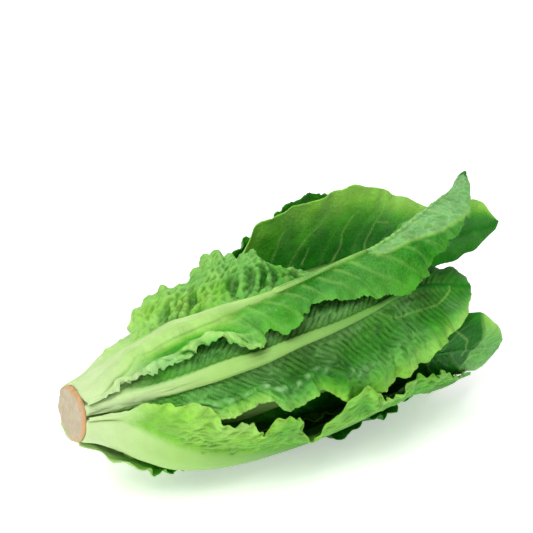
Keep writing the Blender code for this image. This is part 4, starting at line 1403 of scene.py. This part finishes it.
@dataclass
class CutStem:
    """The stem, with its cut face in front and the taper that the leaves grow from behind it."""

    face: tuple = ((-1.45, 0.01), (-1.5, 3), (-1.65, 7), (-1.7, 11), (-1.8, 13.4), (-1.55, 14.4))
    rim: tuple = ((-1, 14.9), (-0.3, 15), (0.4, 15), (0.9, 14.8), (1.3, 14))
    taper: tuple = ((4, 13.3), (8, 12.6), (14, 11.2), (22, 9.2), (30, 7.2), (40, 5.0), (48, 3.4), (60, 0.01))
    radius: float = 15.0
    sides: int = 120
    rings: int = 110
    uneven: float = 1.1  # how far its outline strays from round
    dents: float = 0.18  # depth of the cut face's marks

    def turned(self) -> bpy.types.Mesh:
        """Spins the profile round the axis.

        Returns:
            The mesh, in millimetres about the axis.
        """
        profile = np.array(self.face + self.rim + self.taper, float)
        run = run_along(profile)
        profile = through(np.column_stack([run, profile]), np.linspace(0, run[-1], self.rings))
        profile[:, 1] = np.clip(profile[:, 1], 0, None)
        profile[[0, -1], 1] = 0
        solid = bmesh.new()
        points = [solid.verts.new((along, 0, out)) for along, out in profile]
        edges = [solid.edges.new(pair) for pair in zip(points, points[1:])]
        bmesh.ops.spin(solid, geom=points + edges, axis=(1, 0, 0), cent=(0, 0, 0), angle=2 * math.pi,
                       steps=self.sides, use_merge=True)
        bmesh.ops.remove_doubles(solid, verts=solid.verts, dist=0.01)
        bmesh.ops.recalc_face_normals(solid, faces=solid.faces)
        return to_mesh(solid, "cut_stem_fine")

    def build(self, finish: StemFinish) -> bpy.types.Object:
        """Makes the stem.

        Args:
            finish: Its colours.

        Returns:
            Its object.
        """
        mesh = self.turned()
        spots = np.zeros(len(mesh.vertices) * 3)
        mesh.vertices.foreach_get("co", spots)
        spots = spots.reshape(-1, 3)
        along, angle, out = to_places(spots)
        across, up = np.cos(np.radians(angle)), np.sin(np.radians(angle))
        stray = cloud(3 + 2.2 * across, 3 + 2.2 * up, 5) + 0.9 * cloud(9 + 6 * across, 9 + 6 * up, 6)
        wide = 1 + self.uneven * stray / self.radius * (1 - rise(along, -0.6, 2.2))
        marks = cloud(spots[:, 1] / 2.4, spots[:, 2] / 2.4, 8) + 0.5 * cloud(spots[:, 1], spots[:, 2], 9)
        spots[:, 0] += self.dents * marks * (1 - rise(along - CUT_END, 0.5, 1.5))
        spots[:, 1:] *= wide[:, None]
        mesh.vertices.foreach_set("co", set_down(spots).astype(np.float32).ravel())
        give_mask(mesh, "out", out / self.radius)
        give_mask(mesh, "back", np.clip((along - CUT_END - 1.4) / 2.6, 0, 1))
        mesh.update()
        mesh.shade_smooth()
        mesh.materials.append(finish.material())
        return add_object(mesh.name, mesh)


@dataclass
class Studio:
    """The pale floor, the soft lights and the camera at the photograph's angle."""

    camera_place: tuple = (-0.4829, -0.6990, 0.5366)  # metres
    towards: float = 33.0  # degrees that the view turns right of +Y
    down: float = 27.0  # degrees that the camera looks down
    focal: float = 1710.0  # focal length in pixels of the photograph
    sensor: float = 36.0
    sky: float = 0.36
    floor_paint: tuple = (0.93, 0.93, 0.92, 1)
    floor_glow: float = 0.42  # light that the floor adds, so that it looks white
    aim: tuple = (0, 0, 0.05)  # the point that the lights face, in metres

    def floor(self) -> None:
        """A wide pale floor."""
        solid = bmesh.new()
        bmesh.ops.create_grid(solid, x_segments=2, y_segments=2, size=6)
        mesh = to_mesh(solid, "studio_floor")
        paint, wire, shader = new_material("studio_floor_paint")
        wire.feed(shader, {
            "Base Color": self.floor_paint,
            "Roughness": 0.55,
            "Specular IOR Level": 0.3,
            "Emission Color": (1, 1, 1, 1),
            "Emission Strength": self.floor_glow,
        })
        mesh.materials.append(paint)
        add_object("studio_floor", mesh)

    def light(self, name: str, place: tuple, size: float, power: float) -> None:
        """A square soft light.

        Args:
            name: Its name.
            place: Where it hangs, in metres.
            size: Its side, in metres.
            power: Its power, in watts.
        """
        lamp = bpy.data.lights.new(name, "AREA")
        lamp.size = size
        lamp.energy = power
        made = add_object(name, lamp)
        made.location = place
        made.rotation_euler = (Vector(self.aim) - Vector(place)).to_track_quat("-Z", "Y").to_euler()

    def camera(self) -> None:
        """The camera, unshifted and with everything sharp."""
        turn, tilt = math.radians(self.towards), math.radians(self.down)
        back = Vector((-math.sin(turn) * math.cos(tilt), -math.cos(turn) * math.cos(tilt), math.sin(tilt)))
        right = Vector((math.cos(turn), -math.sin(turn), 0))
        frame_of_view = Matrix((right, back.cross(right), back)).transposed().to_4x4()
        frame_of_view.translation = Vector(self.camera_place)
        lens = bpy.data.cameras.new("camera")
        lens.sensor_width = self.sensor
        lens.lens = self.sensor * self.focal / PHOTO_SIDE
        lens.clip_start, lens.clip_end = 0.05, 30
        made = add_object("camera", lens)
        made.matrix_world = frame_of_view
        bpy.context.scene.camera = made

    def build(self) -> None:
        """Makes the whole studio."""
        scene = bpy.context.scene
        scene.view_settings.view_transform = "Standard"
        scene.view_settings.look = "None"
        scene.world = bpy.data.worlds.new("studio")
        scene.world.use_nodes = True
        tree = scene.world.node_tree
        Wiring(tree).feed(tree.nodes["Background"], {"Color": (1, 1, 1, 1), "Strength": self.sky})
        self.floor()
        self.light("key_light", (-0.75, -0.5, 1.35), 0.8, 18)
        self.light("rim_light", (0.5, 0.9, 1.1), 0.6, 7)
        self.camera()


FINISHES = {
    Shade.HEART: LeafFinish("heart_blade", "heart_leaf", rib_base=(0.74, 0.82, 0.50),
                            rib_middle=(0.55, 0.72, 0.25), rib_tip=(0.40, 0.62, 0.14), net=0.15),
    Shade.LEAF: LeafFinish("leaf_blade", "leaf"),
}
LEAVES = tuple(
    Leaf(lines, RELIEFS[lines.name], Shade.HEART if lines in HEART else Shade.LEAF)
    for lines in HEART + INNER + MIDDLE + OUTER
)


@dataclass
class Head:
    """The whole romaine head: the stem, and the leaves in the order in which they are laid."""

    leaves: tuple[Leaf, ...]
    stem: CutStem

    def build(self) -> None:
        """Makes each piece and puts it on the body in place of its solid."""
        self.own(self.stem.build(StemFinish()), "cut_stem")
        solids = Packing()
        for leaf in self.leaves:
            leaf.lay_solid(solids)
        group = skin_group()
        materials = {shade: finish.material(group) for shade, finish in FINISHES.items()}
        packing = Packing(step=1.0, turn=1.5, clear=FINE_CLEAR, times=1, rounds=14, soft=2)
        for leaf in self.leaves:
            piece = leaf.build(packing, materials)
            self.own(piece, leaf.lines.name)

    def own(self, piece: bpy.types.Object, node: str) -> None:
        """Puts a piece on the head's one body.

        Args:
            piece: The piece.
            node: The solid that it stands for.
        """
        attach(piece, "root")
        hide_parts(node)
        log.info("%s: %d faces", piece.name, len(piece.data.polygons))


def corners(bounds: object) -> list[list[float]]:
    """The lowest and the highest corner of a box, as plain lists."""
    return [[round(float(value), 5) for value in corner] for corner in bounds]


def main() -> None:
    """Builds the studio and the head."""
    logging.basicConfig(level=logging.INFO, format="%(name)s: %(message)s")
    Studio().build()
    Head(LEAVES, CutStem()).build()


if __name__ == "__main__":
    main()
